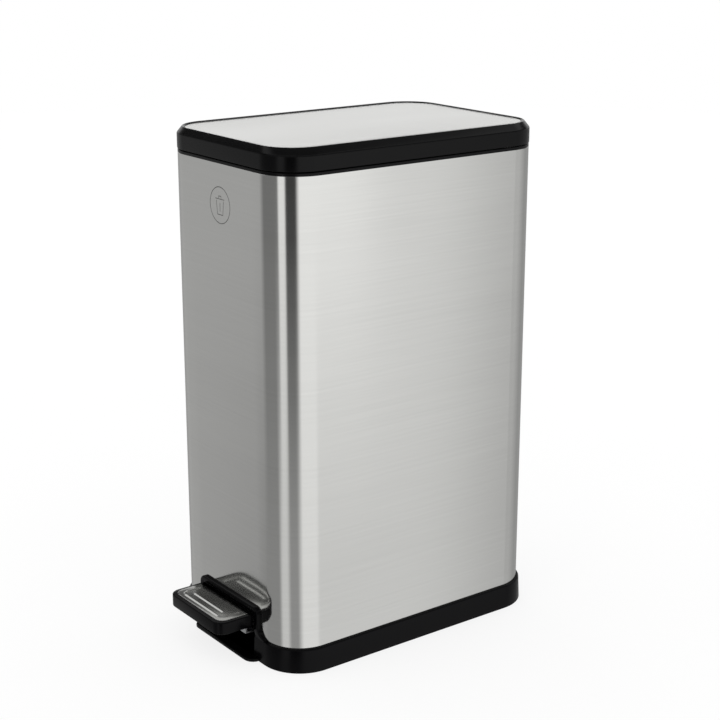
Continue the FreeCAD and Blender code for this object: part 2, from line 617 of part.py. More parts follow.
def build_collar():
    """The plastic ring on the shell's upper edge, with a bridge and a tower for each hinge."""
    body = new_body("rim_collar")
    ring = flat(body, SHELL_TOP)
    draw_rounded(ring, "body_width", "body_depth", "body_corner")
    wide, deep = "body_width - 2 * collar_ring", "body_depth - 2 * collar_ring"
    draw_rounded(ring, wide, deep, "body_corner - collar_ring")
    pad(body, ring, "collar_lip")
    skirt = flat(body, SHELL_TOP)
    for inset in ("(steel_wall + fit_gap)", "(steel_wall + fit_gap + collar_wall)"):
        wide, deep = "body_width - 2 * " + inset, "body_depth - 2 * " + inset
        draw_rounded(skirt, wide, deep, "body_corner - " + inset)
    pad(body, skirt, "collar_skirt", reverse=True)
    for side, word in SIDES:
        low, high = tower_span(side)
        bridge = flat(body, SHELL_TOP)
        middle = "%d * tower_x" % side
        front, back = "body_depth / 2 - bridge_deep", "body_depth / 2 - collar_ring / 2"
        draw_block(bridge, middle + " - bridge_side", middle + " + bridge_side", front, back)
        pad(body, bridge, "collar_lip")
        stem = flat(body, SHELL_TOP)
        draw_block(stem, low, high, HINGE_Y + " - hinge_boss", HINGE_Y + " + hinge_boss")
        pad(body, stem, "hinge_rise")
        eye = sideways(body, low)
        draw_circle(eye, HINGE_Y, HINGE_Z, "hinge_boss")
        pad(body, eye, "tower_wide")
        bore = sideways(body, high)
        draw_circle(bore, HINGE_Y, HINGE_Z, PIN_BORE)
        pocket(body, bore, "tower_wide")


def build_hinge():
    """Brackets under the lid roof, pins through the towers, and clips on the pins."""
    pins = []
    clips = []
    for side, word in SIDES:
        low, high = tower_span(side)
        body = new_body("lid_hinge_bracket_" + word)
        cheeks = ("%s - cheek_gap - cheek_wide" % low, "%s + cheek_gap" % high)
        front, plate_back = HINGE_Y + " - cheek_deep", HINGE_Y + " - cheek_deep + bracket_deep"
        plate_low = ROOF_Z + " - bracket_plate"
        for start in cheeks:
            cheek = sideways(body, start)
            top = HINGE_Z + " + hinge_boss"
            under = HINGE_Z + " - hinge_boss"
            draw_polygon(cheek, [(front, under), (HINGE_Y, under), (HINGE_Y, top), (plate_back, top),
                                 (plate_back, plate_low), (front, plate_low)])
            pad(body, cheek, "cheek_wide")
            plate = sideways(body, cheeks[0])
            draw_block(plate, front, plate_back, plate_low, ROOF_Z)
            pad(body, plate, "tower_wide + 2 * cheek_gap + 2 * cheek_wide")
            eye = sideways(body, start)
            draw_circle(eye, HINGE_Y, HINGE_Z, "hinge_boss")
            pad(body, eye, "cheek_wide")
        bore = sideways(body, "%s + cheek_gap + cheek_wide" % high)
        draw_circle(bore, HINGE_Y, HINGE_Z, "hinge_pin / 2")
        pocket(body, bore, "tower_wide + 2 * cheek_gap + 2 * cheek_wide")
        start = "%s - clip_thick" % cheeks[0]
        length = "tower_wide + 2 * cheek_gap + 2 * cheek_wide + 2 * clip_thick"
        pins.append(cylinder("pin_" + word, "hinge_pin / 2", length, (start, HINGE_Y, HINGE_Z), X_AXIS))
        for end, place in enumerate((start, "%s + cheek_gap + cheek_wide" % high)):
            disc = cylinder("disc_%s_%d" % (word, end), "clip_radius", "clip_thick",
                            (place, HINGE_Y, HINGE_Z), X_AXIS)
            hole = cylinder("hole_%s_%d" % (word, end), "hinge_pin / 2", "clip_thick",
                            (place, HINGE_Y, HINGE_Z), X_AXIS)
            clips.append(cut("clip_%s_%d" % (word, end), disc, hole))
    keep(group("pin_set", pins), "hinge_pins")
    keep(group("clip_set", clips), "hinge_clips")


# Lid

def lid_posts():
    """Centres of the four lid screw posts."""
    for side in ("-1", "1"):
        for end in ("-1", "1"):
            across = "%s * (body_width / 2 - lid_post_side)" % side
            yield across, "%s * (body_depth / 2 - lid_post_end)" % end


def build_lid_frame():
    """The moulded lid: upright band, sloped shoulder, recess for the plate, hollow underside."""
    body = new_body("lid_frame")
    band = flat(body, LID_LOW)
    draw_rounded(band, LID_WIDE, LID_DEEP, LID_CORNER)
    pad(body, band, "band_height")
    shoulder_low = flat(body, BAND_TOP)
    draw_rounded(shoulder_low, LID_WIDE, LID_DEEP, LID_CORNER)
    crest = flat(body, "total_height")
    wide, deep = LID_WIDE + " - 2 * crest_inset_x", LID_DEEP + " - 2 * crest_inset_y"
    draw_rounded(crest, wide, deep, LID_CORNER + " - crest_inset_y")
    loft(body, shoulder_low, crest)
    recess = flat(body, "total_height")
    wide = "body_width - 2 * plate_inset_x + 2 * fit_gap"
    deep = "body_depth - 2 * plate_inset_y + 2 * fit_gap"
    draw_rounded(recess, wide, deep, "plate_corner + fit_gap")
    pocket(body, recess, "plate_drop + plate_thick")
    hollow = flat(body, BAND_TOP)
    wide, deep = LID_WIDE + " - 2 * lid_wall", LID_DEEP + " - 2 * lid_wall"
    draw_rounded(hollow, wide, deep, LID_CORNER + " - lid_wall")
    pocket(body, hollow, "band_height")
    roof = flat(body, ROOF_Z)
    wide, deep = LID_WIDE + " - 2 * roof_margin_x", LID_DEEP + " - 2 * roof_margin_y"
    draw_rounded(roof, wide, deep, LID_CORNER + " - roof_margin_x")
    pocket(body, roof, ROOF_Z + " - " + BAND_TOP)
    trim = flat(body, LID_LOW + " + lid_back_lift")
    start = HALF_DEEP + " - back_trim"
    draw_block(trim, "0 - body_width", "body_width", start, "body_depth")
    pocket(body, trim, "lid_back_lift")
    for side, word in SIDES:
        low, high = tower_span(side)
        notch = flat(body, HINGE_Z + " + notch_above")
        front = HALF_DEEP + " - bridge_deep"
        draw_block(notch, low + " - cheek_gap", high + " + cheek_gap", front, "body_depth")
        pocket(body, notch, HINGE_Z + " + notch_above - " + LID_LOW)
    rod_notch = flat(body, LID_LOW + " + rod_notch_tall")
    draw_block(rod_notch, "0 - rod_notch_half", "rod_notch_half", start, "body_depth")
    pocket(body, rod_notch, "rod_notch_tall")
    posts = flat(body, PAN_TOP)
    for x, y in lid_posts():
        draw_circle(posts, x, y, "lid_post_radius")
    pad(body, posts, ROOF_Z + " - " + PAN_TOP)
    pilots = flat(body, PAN_LOW + " + lid_screw_length")
    for x, y in lid_posts():
        draw_circle(pilots, x, y, "screw_shank / 2")
    pocket(body, pilots, "lid_screw_length - pan_thick")


def build_lid_parts():
    """Steel top plate, inner pan with its screws, and the bumpers."""
    plate = new_body("lid_top_plate")
    outline = flat(plate, "total_height - plate_drop - plate_thick")
    wide, deep = "body_width - 2 * plate_inset_x", "body_depth - 2 * plate_inset_y"
    draw_rounded(outline, wide, deep, "plate_corner")
    pad(plate, outline, "plate_thick")
    pan = new_body("lid_inner_pan")
    outline = flat(pan, PAN_LOW)
    edge = "(lid_wall + fit_gap - lid_proud)"
    wide, deep = "body_width - 2 * " + edge, "(body_depth - pan_back - %s)" % edge
    draw_rounded(outline, wide, deep, "body_corner - " + edge, "0", "(%s - pan_back) / 2" % edge)
    for x, y in lid_posts():
        draw_circle(outline, x, y, "screw_shank / 2 + bore_gap")
    pad(pan, outline, "pan_thick")
    screws = [screw("lid_screw_%d" % index, x, y, PAN_LOW + " - screw_head_tall", "lid_screw_length", False)
              for index, (x, y) in enumerate(lid_posts())]
    keep(group("lid_screw_set", screws), "lid_screws")
    bumpers = []
    low = COLLAR_TOP + " + bumper_gap"
    for index, (side, end) in enumerate(((-1, -1), (1, -1), (-1, 1), (1, 1))):
        x = "%d * (body_width / 2 - bumper_inset)" % side
        y = "%d * (body_depth / 2 - lid_post_end)" % end
        bumpers.append(cylinder("bumper_%d" % index, "bumper_radius", PAN_LOW + " - (%s)" % low, (x, y, low)))
    keep(group("bumper_set", bumpers), "lid_bumpers")


def build_crank():
    """The lid crank: a slotted plate that hangs from the roof and is lifted by the push rod."""
    body = new_body("lid_crank")
    back = HINGE_Y + " - cheek_deep + bracket_deep"
    reach = "(crank_pin / 2 + slot_gap + crank_rim)"
    plate = sideways(body, "0 - crank_thick / 2")
    low = "%s - %s" % (CRANK_Z, reach)
    front = "%s - %s" % (CRANK_Y, reach)
    heel_y, heel_low = HINGE_Y + " - crank_heel_inset", HINGE_Z + " - crank_heel"
    draw_polygon(plate, [(front, ROOF_Z), (front, low), (CRANK_Y, low), (heel_y, heel_low),
                         (heel_y, HINGE_Z), (back, HINGE_Z + " + crank_rim"), (back, ROOF_Z)])
    pad(body, plate, "crank_thick")
    slot = sideways(body, "crank_thick / 2")
    angle = "crank_angle"
    half = "(crank_pin / 2 + slot_gap)"
    inner = "(crank_radius * cos(crank_angle) - run_gap - crank_pin / 2)"
    outer = "(crank_radius + run_gap + crank_pin / 2)"
    corners = [(inner, "-1"), (outer, "-1"), (outer, "1"), (inner, "1")]
    points = []
    for distance, side in corners:
        across = "%s - %s * cos(%s) - %s * %s * sin(%s)" % (HINGE_Y, distance, angle, side, half, angle)
        up = "%s - %s * sin(%s) + %s * %s * cos(%s)" % (HINGE_Z, distance, angle, side, half, angle)
        points.append((across, up))
    draw_polygon(slot, points)
    pocket(body, slot, "crank_thick")


# Push rod, damper and guides

def build_push_rod():
    """The rod with its fork and foot, and the pin that works in the crank slot."""
    rod_low = "%s + %s + foot_gap" % (lever_under(CRANK_Y), LEVER_TALL)
    foot = cylinder("rod_foot", "foot_radius", "foot_tall", ("0", CRANK_Y, rod_low))
    stem_tall = "%s - (%s)" % (FORK_LOW, rod_low)
    stem = cylinder("rod_stem", "rod_diameter / 2", stem_tall, ("0", CRANK_Y, rod_low))
    outer = "(crank_thick / 2 + run_gap + fork_wall)"
    inner = "(crank_thick / 2 + run_gap)"
    y_range = (CRANK_Y + " - fork_half", CRANK_Y + " + fork_half")
    floor = box("fork_floor_block", ("0 - " + outer, outer), y_range, (FORK_LOW, FORK_LOW + " + fork_floor"))
    z_range = (FORK_LOW, CRANK_Z + " + fork_half")
    left = box("fork_left", ("0 - " + outer, "0 - " + inner), y_range, z_range)
    right = box("fork_right", (inner, outer), y_range, z_range)
    whole = fuse("rod_whole", [foot, stem, floor, left, right])
    length = "2 * " + outer
    start = ("0 - " + outer, CRANK_Y, CRANK_Z)
    bore = cylinder("fork_bore", "crank_pin / 2", length, start, X_AXIS)
    keep(cut("rod_bored", whole, bore), "push_rod")
    keep(cylinder("pin_body", "crank_pin / 2", length, start, X_AXIS), "crank_pin")


def build_guides():
    """Two blocks on the back of the shell that guide the push rod."""
    blocks = []
    for word, low in (("low", "guide_low"), ("high", GUIDE_HIGH)):
        block = box("guide_block_" + word, ("0 - guide_half", "guide_half"),
                    (CRANK_Y + " - guide_reach", INNER_BACK), (low, low + " + guide_tall"))
        radius = "rod_diameter / 2 + bore_gap"
        bore = cylinder("guide_bore_" + word, radius, "guide_tall", ("0", CRANK_Y, low))
        blocks.append(cut("guide_" + word, block, bore))
    keep(group("guide_set", blocks), "push_rod_guides")


def build_damper():
    """Slow-close damper: cylinder, clamp to the shell, piston rod and the arm to the push rod."""
    at = ("damper_x", CRANK_Y)
    barrel = cylinder("barrel", "damper_radius", "damper_tall", at + (DAMPER_LOW,))
    room = "damper_radius - damper_wall"
    chamber = cylinder("chamber", room, "damper_tall - 2 * damper_end", at + (DAMPER_LOW + " + damper_end",))
    gland_low = ARM_LOW + " - arm_rise - damper_end"
    gland = cylinder("gland", "damper_rod / 2 + bore_gap", "damper_end", at + (gland_low,))
    keep(cut("barrel_bored", barrel, fuse("barrel_room", [chamber, gland])), "damper_cylinder")
    clamp_low = DAMPER_LOW + " + clamp_rise"
    half = "(damper_radius + damper_wall)"
    block = box("clamp_block", ("damper_x - " + half, "damper_x + " + half),
                (CRANK_Y + " - " + half, INNER_BACK), (clamp_low, clamp_low + " + clamp_tall"))
    hole = cylinder("clamp_hole", "damper_radius", "clamp_tall", at + (clamp_low,))
    keep(cut("clamp_bored", block, hole), "damper_clamp")
    piston_low = DAMPER_LOW + " + piston_rise"
    piston = cylinder("piston", room + " - 2 * bore_gap", "piston_tall", at + (piston_low,))
    length = "%s + arm_tall - (%s)" % (ARM_LOW, piston_low)
    stem = cylinder("piston_stem", "damper_rod / 2", length, at + (piston_low,))
    keep(fuse("piston_whole", [piston, stem]), "damper_piston_rod")
    arm = box("arm_block", ("0 - rod_diameter - arm_half", "damper_x + damper_rod + arm_half"),
              (CRANK_Y + " - arm_half", CRANK_Y + " + arm_half"), (ARM_LOW, ARM_LOW + " + arm_tall"))
    rod_hole = cylinder("arm_rod_hole", "rod_diameter / 2", "arm_tall", ("0", CRANK_Y, ARM_LOW))
    damper_hole = cylinder("arm_damper_hole", "damper_rod / 2", "arm_tall", at + (ARM_LOW,))
    keep(cut("arm_bored", arm, fuse("arm_holes", [rod_hole, damper_hole])), "damper_arm")


# Pedal and lever

def build_lever():
    """The steel lever: wide bent front under the pedal, channel to the shaft and on to the push rod."""
    body = new_body("pedal_lever")
    strip = sideways(body, "0 - " + LEVER_FRONT_HALF)
    riser_back = RISER_Y + " + lever_sheet"
    flange_front = PEDAL_FRONT + " + 3 * pedal_wall"
    draw_polygon(strip, [
        (LEVER_BACK, lever_under(LEVER_BACK)),
        (LEVER_BACK, "%s + %s" % (lever_under(LEVER_BACK), LEVER_TALL)),
        (riser_back, "%s + %s" % (lever_under(riser_back), LEVER_TALL)),
        (riser_back, FLANGE_TOP),
        (flange_front, FLANGE_TOP),
        (flange_front, FLANGE_TOP + " - lever_sheet"),
        (RISER_Y, FLANGE_TOP + " - lever_sheet"),
        (RISER_Y, lever_under(RISER_Y)),
    ])
    pad(body, strip, "2 * " + LEVER_FRONT_HALF)
    waist = flat(body, "pedal_top")
    for side in ("-1", "1"):
        inner, outer = "%s * lever_half" % side, "%s * %s" % (side, LEVER_FRONT_HALF)
        beyond = "%s * (%s + 1)" % (side, LEVER_FRONT_HALF)
        neck = "lever_neck_inset - body_depth / 2"
        draw_polygon(waist, [(outer, neck), (inner, "lever_flange_inset - body_depth / 2"),
                             (inner, LEVER_BACK + " + 1"), (beyond, LEVER_BACK + " + 1"), (beyond, neck)])
    pocket(body, waist, "pedal_top")
    for start in ("0 - lever_half", "lever_half - lever_sheet"):
        flange = sideways(body, start)
        front, back = "lever_flange_inset - body_depth / 2", LEVER_BACK
        draw_polygon(flange, [(front, lever_under(front)), (front, lever_under(front) + " - lever_flange"),
                              (back, lever_under(back) + " - lever_flange"), (back, lever_under(back))])
        pad(body, flange, "lever_sheet")
        eye = sideways(body, start)
        draw_circle(eye, "0", "pivot_height", "lever_eye")
        pad(body, eye, "lever_sheet")
    bore = sideways(body, "lever_half")
    draw_circle(bore, "0", "pivot_height", "shaft_diameter / 2 + bore_gap")
    pocket(body, bore, "2 * lever_half")
    holes = flat(body, FLANGE_TOP)
    for x, y in pedal_screw_spots():
        draw_circle(holes, x, y, "screw_shank / 2 + bore_gap")
    pocket(body, holes, "lever_sheet")


def pedal_screw_spots():
    """Centres of the two pedal screws."""
    for side in ("-1", "1"):
        yield "%s * (%s - pedal_screw_inset)" % (side, PEDAL_HALF), RISER_Y + " - pedal_screw_y"


def build_shaft():
    """The lever shaft in the base posts, held by a clip at each end."""
    end = "(lever_half + run_gap + pivot_post_thick + clip_thick)"
    start = ("0 - " + end, "0", "pivot_height")
    keep(cylinder("shaft_body", "shaft_diameter / 2", "2 * " + end, start, X_AXIS), "lever_shaft")
    clips = []
    for index, place in enumerate(("0 - " + end, end + " - clip_thick")):
        at = (place, "0", "pivot_height")
        disc = cylinder("shaft_disc_%d" % index, "shaft_clip_radius", "clip_thick", at, X_AXIS)
        hole = cylinder("shaft_hole_%d" % index, "shaft_diameter / 2", "clip_thick", at, X_AXIS)
        clips.append(cut("shaft_clip_%d" % index, disc, hole))
    keep(group("shaft_clip_set", clips), "shaft_clips")


def draw_pedal_outline(sketch, margin):
    """The pedal's plan, reaching past its back edge so that only the front corners are round."""
    deep = "(pedal_deep - %s + 2 * pedal_corner)" % margin
    wide = "2 * (%s - %s)" % (PEDAL_HALF, margin)
    draw_rounded(sketch, wide, deep, "pedal_corner", "0", "%s + %s + %s / 2" % (PEDAL_FRONT, margin, deep))


def trim_back(body, height, length, back):
    """Cut the pedal outline off square at its back edge."""
    trim = flat(body, height)
    draw_block(trim, "0 - 2 * " + PEDAL_HALF, "2 * " + PEDAL_HALF, back, back + " + 3 * pedal_corner")
    pocket(body, trim, length)


def build_pedal():
    """The hollow plastic pedal, its ridged steel tread and the screws that hold it to the lever."""
    body = new_body("pedal_body")
    outline = flat(body, "pedal_low")
    draw_pedal_outline(outline, "0")
    pad(body, outline, "pedal_top - pedal_low")
    trim_back(body, "pedal_top", "pedal_top - pedal_low", PEDAL_BACK)
    hollow = flat(body, FLANGE_TOP)
    wide, deep = "2 * (%s - pedal_wall)" % PEDAL_HALF, "(pedal_deep - 2 * pedal_wall)"
    draw_rounded(hollow, wide, deep, "pedal_hollow_corner", "0", PEDAL_BACK + " - pedal_deep / 2")
    pocket(body, hollow, FLANGE_TOP + " - pedal_low")
    pilots = flat(body, FLANGE_TOP)
    for x, y in pedal_screw_spots():
        draw_circle(pilots, x, y, "screw_shank / 2")
    pocket(body, pilots, "pedal_screw_length - lever_sheet", reverse=True)
    low = FLANGE_TOP + " - lever_sheet - screw_head_tall"
    screws = [screw("pedal_screw_%d" % index, x, y, low, "pedal_screw_length", False)
              for index, (x, y) in enumerate(pedal_screw_spots())]
    keep(group("pedal_screw_set", screws), "pedal_screws")
    tread = new_body("pedal_tread")
    outline = flat(tread, "pedal_top")
    draw_pedal_outline(outline, "tread_margin")
    pad(tread, outline, "tread_thick")
    trim_back(tread, "pedal_top + tread_thick", "tread_thick", PEDAL_BACK + " - tread_margin")
    ridges = flat(tread, "pedal_top + tread_thick")
    wide, half = "ridge_wide", "ridge_wide / 2"
    front = "(%s + ridge_front)" % TREAD_FRONT
    back = "(%s - tread_margin - ridge_back)" % PEDAL_BACK
    outer = "(%s - ridge_side + %s)" % (PEDAL_HALF, half)
    inner = "(%s - ridge_side - %s)" % (PEDAL_HALF, half)
    turn = front + " + " + wide
    draw_polygon(ridges, [("0 - " + outer, back), ("0 - " + outer, front), (outer, front), (outer, back),
                          (inner, back), (inner, turn), ("0 - " + inner, turn), ("0 - " + inner, back)])
    inner_y = "%s + ridge_inner_front" % TREAD_FRONT
    reach = "(%s - ridge_inner_side)" % PEDAL_HALF
    draw_block(ridges, "0 - " + reach, reach, inner_y, inner_y + " + ridge_wide")
    pad(tread, ridges, "ridge_tall")


def check_and_write():
    """Stop if anything failed or is not a good solid, then write one file for each sub-part."""
    doc.recompute()
    failed = [item.Name for item in doc.Objects if "Invalid" in item.State or "Error" in item.State]
    if failed:
        raise RuntimeError("failed objects: " + ", ".join(failed))
    os.makedirs("parts", exist_ok=True)
    for node in nodes:
        shape = node.Shape
        if shape.isNull() or not shape.isValid() or not shape.Solids:
            raise RuntimeError(node.Label + " has no valid solid")
    for node in nodes:
        node.Shape.exportStep(os.path.join("parts", node.Label + ".step"))
    print(len(nodes), "sub-parts written")


build_base()
build_pads()
build_shell()
build_deck()
build_bucket()
build_collar()
build_hinge()
build_lid_frame()
build_lid_parts()
build_crank()
build_push_rod()
build_guides()
build_damper()
build_lever()
build_shaft()
build_pedal()
check_and_write()
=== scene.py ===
"""Pedal trash can: slim steel shell, black base and lid, pedal, inner bucket and lid linkage.

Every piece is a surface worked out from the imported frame's boxes, in metres.
"""

import math

import bmesh
import bpy
import numpy as np
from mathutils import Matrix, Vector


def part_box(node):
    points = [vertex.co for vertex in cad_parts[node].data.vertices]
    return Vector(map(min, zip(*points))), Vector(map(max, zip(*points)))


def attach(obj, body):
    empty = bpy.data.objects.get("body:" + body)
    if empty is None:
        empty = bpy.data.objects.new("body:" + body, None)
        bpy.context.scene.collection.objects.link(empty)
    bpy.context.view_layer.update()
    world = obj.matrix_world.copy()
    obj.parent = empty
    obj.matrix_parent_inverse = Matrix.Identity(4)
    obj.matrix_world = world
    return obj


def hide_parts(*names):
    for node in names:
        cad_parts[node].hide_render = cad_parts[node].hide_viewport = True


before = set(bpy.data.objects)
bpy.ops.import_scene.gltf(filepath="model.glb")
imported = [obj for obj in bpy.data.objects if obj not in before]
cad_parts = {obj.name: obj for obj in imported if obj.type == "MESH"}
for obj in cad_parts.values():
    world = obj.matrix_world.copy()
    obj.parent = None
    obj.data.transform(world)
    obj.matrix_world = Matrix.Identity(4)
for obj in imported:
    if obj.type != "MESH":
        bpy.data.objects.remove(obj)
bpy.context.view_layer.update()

bl_info = {
    "name": "Pedal Trash Can",
    "version": (1, 0, 0),
    "blender": (4, 5, 0),
    "location": "View3D > Sidebar > Trash Can",
    "description": "Builds a rectangular pedal trash can piece by piece around its frame",
    "category": "Add Mesh",
}

MM = 0.001
CORNER_CHORDS = 20      # chords in each plan corner
EDGE_CHORDS = 5         # chords in each rounded edge
STEEL_WALL = 0.8 * MM
FIT = 0.1 * MM          # gap between pieces that slot together
OPENING_HALF = 60 * MM  # half width of the pedal opening
OPENING_TOP = 62 * MM
BEZEL_HALF = 68 * MM
BEZEL_PROUD = 4.5 * MM  # bezel face beyond the shell
LIP_PROUD = 3.4 * MM    # bezel face beyond the shell at its feet
SLEEVE = 5.1 * MM       # room for the bezel's sleeve round the opening
HINGE_SIDE = 60 * MM    # middle of each hinge from the middle of the can


# Sizes and colours that a user would change

class CanSizes(bpy.types.PropertyGroup):
    """Sizes of the details that the frame leaves plain."""

    body_corner: bpy.props.FloatProperty(
        name="Body Corner", description="Plan radius of the steel shell's corners",
        default=50 * MM, min=20 * MM, max=80 * MM, subtype="DISTANCE", unit="LENGTH")
    lip_rounding: bpy.props.FloatProperty(
        name="Lip Rounding", description="Radius along the upper edge of the base",
        default=2.2 * MM, min=0.2 * MM, max=4 * MM, subtype="DISTANCE", unit="LENGTH")
    bezel_band: bpy.props.FloatProperty(
        name="Bezel Band", description="Width of the frame round the pedal opening",
        default=8 * MM, min=4 * MM, max=12 * MM, subtype="DISTANCE", unit="LENGTH")
    bezel_corner: bpy.props.FloatProperty(
        name="Bezel Corner", description="Radius of the bezel's upper corners",
        default=10 * MM, min=4 * MM, max=14 * MM, subtype="DISTANCE", unit="LENGTH")
    bezel_foot: bpy.props.FloatProperty(
        name="Bezel Foot", description="Radius of the hollow curve from the bezel into the base's lip",
        default=16 * MM, min=4 * MM, max=16 * MM, subtype="DISTANCE", unit="LENGTH")
    shoulder_rounding: bpy.props.FloatProperty(
        name="Shoulder Rounding", description="Radius where the lid's band turns into its shoulder",
        default=3.4 * MM, min=0.2 * MM, max=5 * MM, subtype="DISTANCE", unit="LENGTH")
    crest_rounding: bpy.props.FloatProperty(
        name="Crest Rounding", description="Radius along the top of the lid's shoulder",
        default=3 * MM, min=0.2 * MM, max=5 * MM, subtype="DISTANCE", unit="LENGTH")
    plate_spread: bpy.props.FloatProperty(
        name="Plate Spread", description="How far the lid's steel plate reaches past the frame's plate",
        default=5 * MM, min=0, max=8 * MM, subtype="DISTANCE", unit="LENGTH")
    ridge_width: bpy.props.FloatProperty(
        name="Ridge Width", description="Width of the pressed ridges in the tread",
        default=4.4 * MM, min=2 * MM, max=7 * MM, subtype="DISTANCE", unit="LENGTH")
    mark_radius: bpy.props.FloatProperty(
        name="Mark Radius", description="Radius of the ring etched on the front",
        default=22 * MM, min=8 * MM, max=30 * MM, subtype="DISTANCE", unit="LENGTH")


class CanFinishes(bpy.types.PropertyGroup):
    """Base colours of the finishes."""

    steel: bpy.props.FloatVectorProperty(
        name="Steel", description="Brushed stainless steel", size=3, min=0, max=1,
        default=(0.72, 0.72, 0.70), subtype="COLOR")
    lid_black: bpy.props.FloatVectorProperty(
        name="Lid Black", description="Satin black of the lid and collar", size=3, min=0, max=1,
        default=(0.0016, 0.0016, 0.0018), subtype="COLOR")
    base_black: bpy.props.FloatVectorProperty(
        name="Base Black", description="Deep black of the base and pedal", size=3, min=0, max=1,
        default=(0.0013, 0.0012, 0.0016), subtype="COLOR")
    bucket_grey: bpy.props.FloatVectorProperty(
        name="Bucket Grey", description="Charcoal plastic of the inner bucket", size=3, min=0, max=1,
        default=(0.020, 0.020, 0.021), subtype="COLOR")


# Surfaces

def outline(half_x, half_y, corner, cuts=()):
    """X and Y of rounded rectangles, one per row, counterclockwise.

    Each corner is (side * (half - corner) + corner * cos/sin of the angle); cuts are extra
    points along the front run, as fractions from -1 to 1 of its half length.
    """
    half_x, half_y, corner = (np.atleast_1d(np.asarray(v, float))[:, None]
                              for v in (half_x, half_y, corner))
    quarter = np.linspace(0, math.pi / 2, CORNER_CHORDS + 1)
    angle = (np.arange(-1, 3)[:, None] * math.pi / 2 + quarter).ravel()
    side_x = np.repeat([1, 1, -1, -1], CORNER_CHORDS + 1)
    side_y = np.repeat([-1, 1, 1, -1], CORNER_CHORDS + 1)
    x = side_x * (half_x - corner) + corner * np.cos(angle)
    y = side_y * (half_y - corner) + corner * np.sin(angle)
    if len(cuts):
        x = np.hstack([x, (half_x - corner) * np.asarray(cuts, float)])
        y = np.hstack([y, -half_y + np.zeros(len(cuts))])
    return x, y


def level_rings(half_x, half_y, corner, height, centre=(0, 0), cuts=()):
    """Rounded rectangles lying level at each height, as rows of points."""
    x, y = outline(half_x, half_y, corner, cuts)
    z = np.broadcast_to(np.asarray(height, float).reshape(-1, 1), x.shape)
    return np.stack(np.broadcast_arrays(x + centre[0], y + centre[1], z), -1)


def walls(grid, loop=False):
    """Quads between the closed rows of a grid of points, and a face over each end row.

    With loop the last row joins the first instead, as round a tyre.
    """
    rows, columns = grid.shape[:2]
    i = np.arange(rows if loop else rows - 1)[:, None]
    j = np.arange(columns)[None, :]
    above, beside = (i + 1) % rows, (j + 1) % columns
    quads = (i * columns + j, i * columns + beside, above * columns + beside, above * columns + j)
    faces = np.stack(np.broadcast_arrays(*quads), -1).reshape(-1, 4).tolist()
    if not loop:
        faces.append(list(range(columns - 1, -1, -1)))
        faces.append(list(range((rows - 1) * columns, rows * columns)))
    return grid.reshape(-1, 3), faces


def rounded(points, radii, loop=False):
    """A polyline whose corners are arcs.

    At corner P the arc of radius r has its centre on the bisector at r / sin(h) and touches
    both runs at r / tan(h), where h is half the angle between them. Its points turn evenly
    from one touching point to the other.
    """
    p = np.asarray(points, float)
    radius = np.broadcast_to(np.asarray(radii, float), len(p)).copy()
    if not loop:
        radius[[0, -1]] = 0
    back, ahead = np.roll(p, 1, 0) - p, np.roll(p, -1, 0) - p
    back /= np.linalg.norm(back, axis=1, keepdims=True) + 1e-12
    ahead /= np.linalg.norm(ahead, axis=1, keepdims=True) + 1e-12
    half = np.arccos(np.clip((back * ahead).sum(1), -1, 1)) / 2
    half = np.clip(half, 1e-4, math.pi / 2 - 1e-4)
    middle = back + ahead
    middle /= np.linalg.norm(middle, axis=1, keepdims=True) + 1e-12
    centre = p + middle * (radius / np.sin(half))[:, None]
    reach = (radius / np.tan(half))[:, None]
    start, end = p + back * reach - centre, p + ahead * reach - centre
    turn = (math.pi - 2 * half)[:, None]
    t = np.linspace(0, 1, EDGE_CHORDS + 1)[None, :]
    near, far = np.sin((1 - t) * turn) / np.sin(turn), np.sin(t * turn) / np.sin(turn)
    arcs = centre[:, None] + near[..., None] * start[:, None] + far[..., None] * end[:, None]
    arcs = arcs.reshape(-1, p.shape[1])
    keep = np.ones(len(arcs), bool)
    keep[1:] = np.linalg.norm(np.diff(arcs, axis=0), axis=1) > 1e-7
    return arcs[keep]


def miters(points):
    """Outward steps at the corners of a counterclockwise outline that move each run by one."""
    ahead = np.roll(points, -1, 0) - points
    ahead /= np.linalg.norm(ahead, axis=1, keepdims=True)
    normal = np.stack([ahead[:, 1], -ahead[:, 0]], 1)
    before = np.roll(normal, 1, 0)
    return (normal + before) / (1 + (normal * before).sum(1, keepdims=True))


PLANES = {
    "xy": lambda u, v, h: (u, v, h),
    "xz": lambda u, v, h: (u, h, v),
    "yz": lambda u, v, h: (h, u, v),
}


def stack_up(points, insets, heights, plane="xy"):
    """A solid whose level sections are the outline drawn in by each inset at each height."""
    points = np.asarray(points, float)
    insets, heights = np.asarray(insets, float), np.asarray(heights, float)
    flat = points[None] - miters(points)[None] * insets[:, None, None]
    level = np.broadcast_to(heights[:, None], flat.shape[:2])
    return walls(np.stack(PLANES[plane](flat[..., 0], flat[..., 1], level), -1))


def slab(points, low, high, edge_low, edge_high, plane="xy"):
    """A plate with rounded edges: inset edge * (1 - sin a) where it has risen edge * (1 - cos a)."""
    a = np.linspace(0, math.pi / 2, EDGE_CHORDS)
    insets = np.concatenate([edge_low * (1 - np.sin(a)), edge_high * (1 - np.cos(a))])
    heights = np.concatenate([low + edge_low * (1 - np.cos(a)), high - edge_high * (1 - np.sin(a))])
    return stack_up(points, insets, heights, plane)


def rectangle(x0, x1, y0, y1, corners):
    """A counterclockwise rectangle from its low left corner, with a radius at each corner."""
    return rounded([(x0, y0), (x1, y0), (x1, y1), (x0, y1)], corners, loop=True)


def disc(x, y, radius, count=32):
    """A circle of points: centre plus radius times cosine and sine."""
    a = np.arange(count) * 2 * math.pi / count
    return np.stack([x + radius * np.cos(a), y + radius * np.sin(a)], 1)


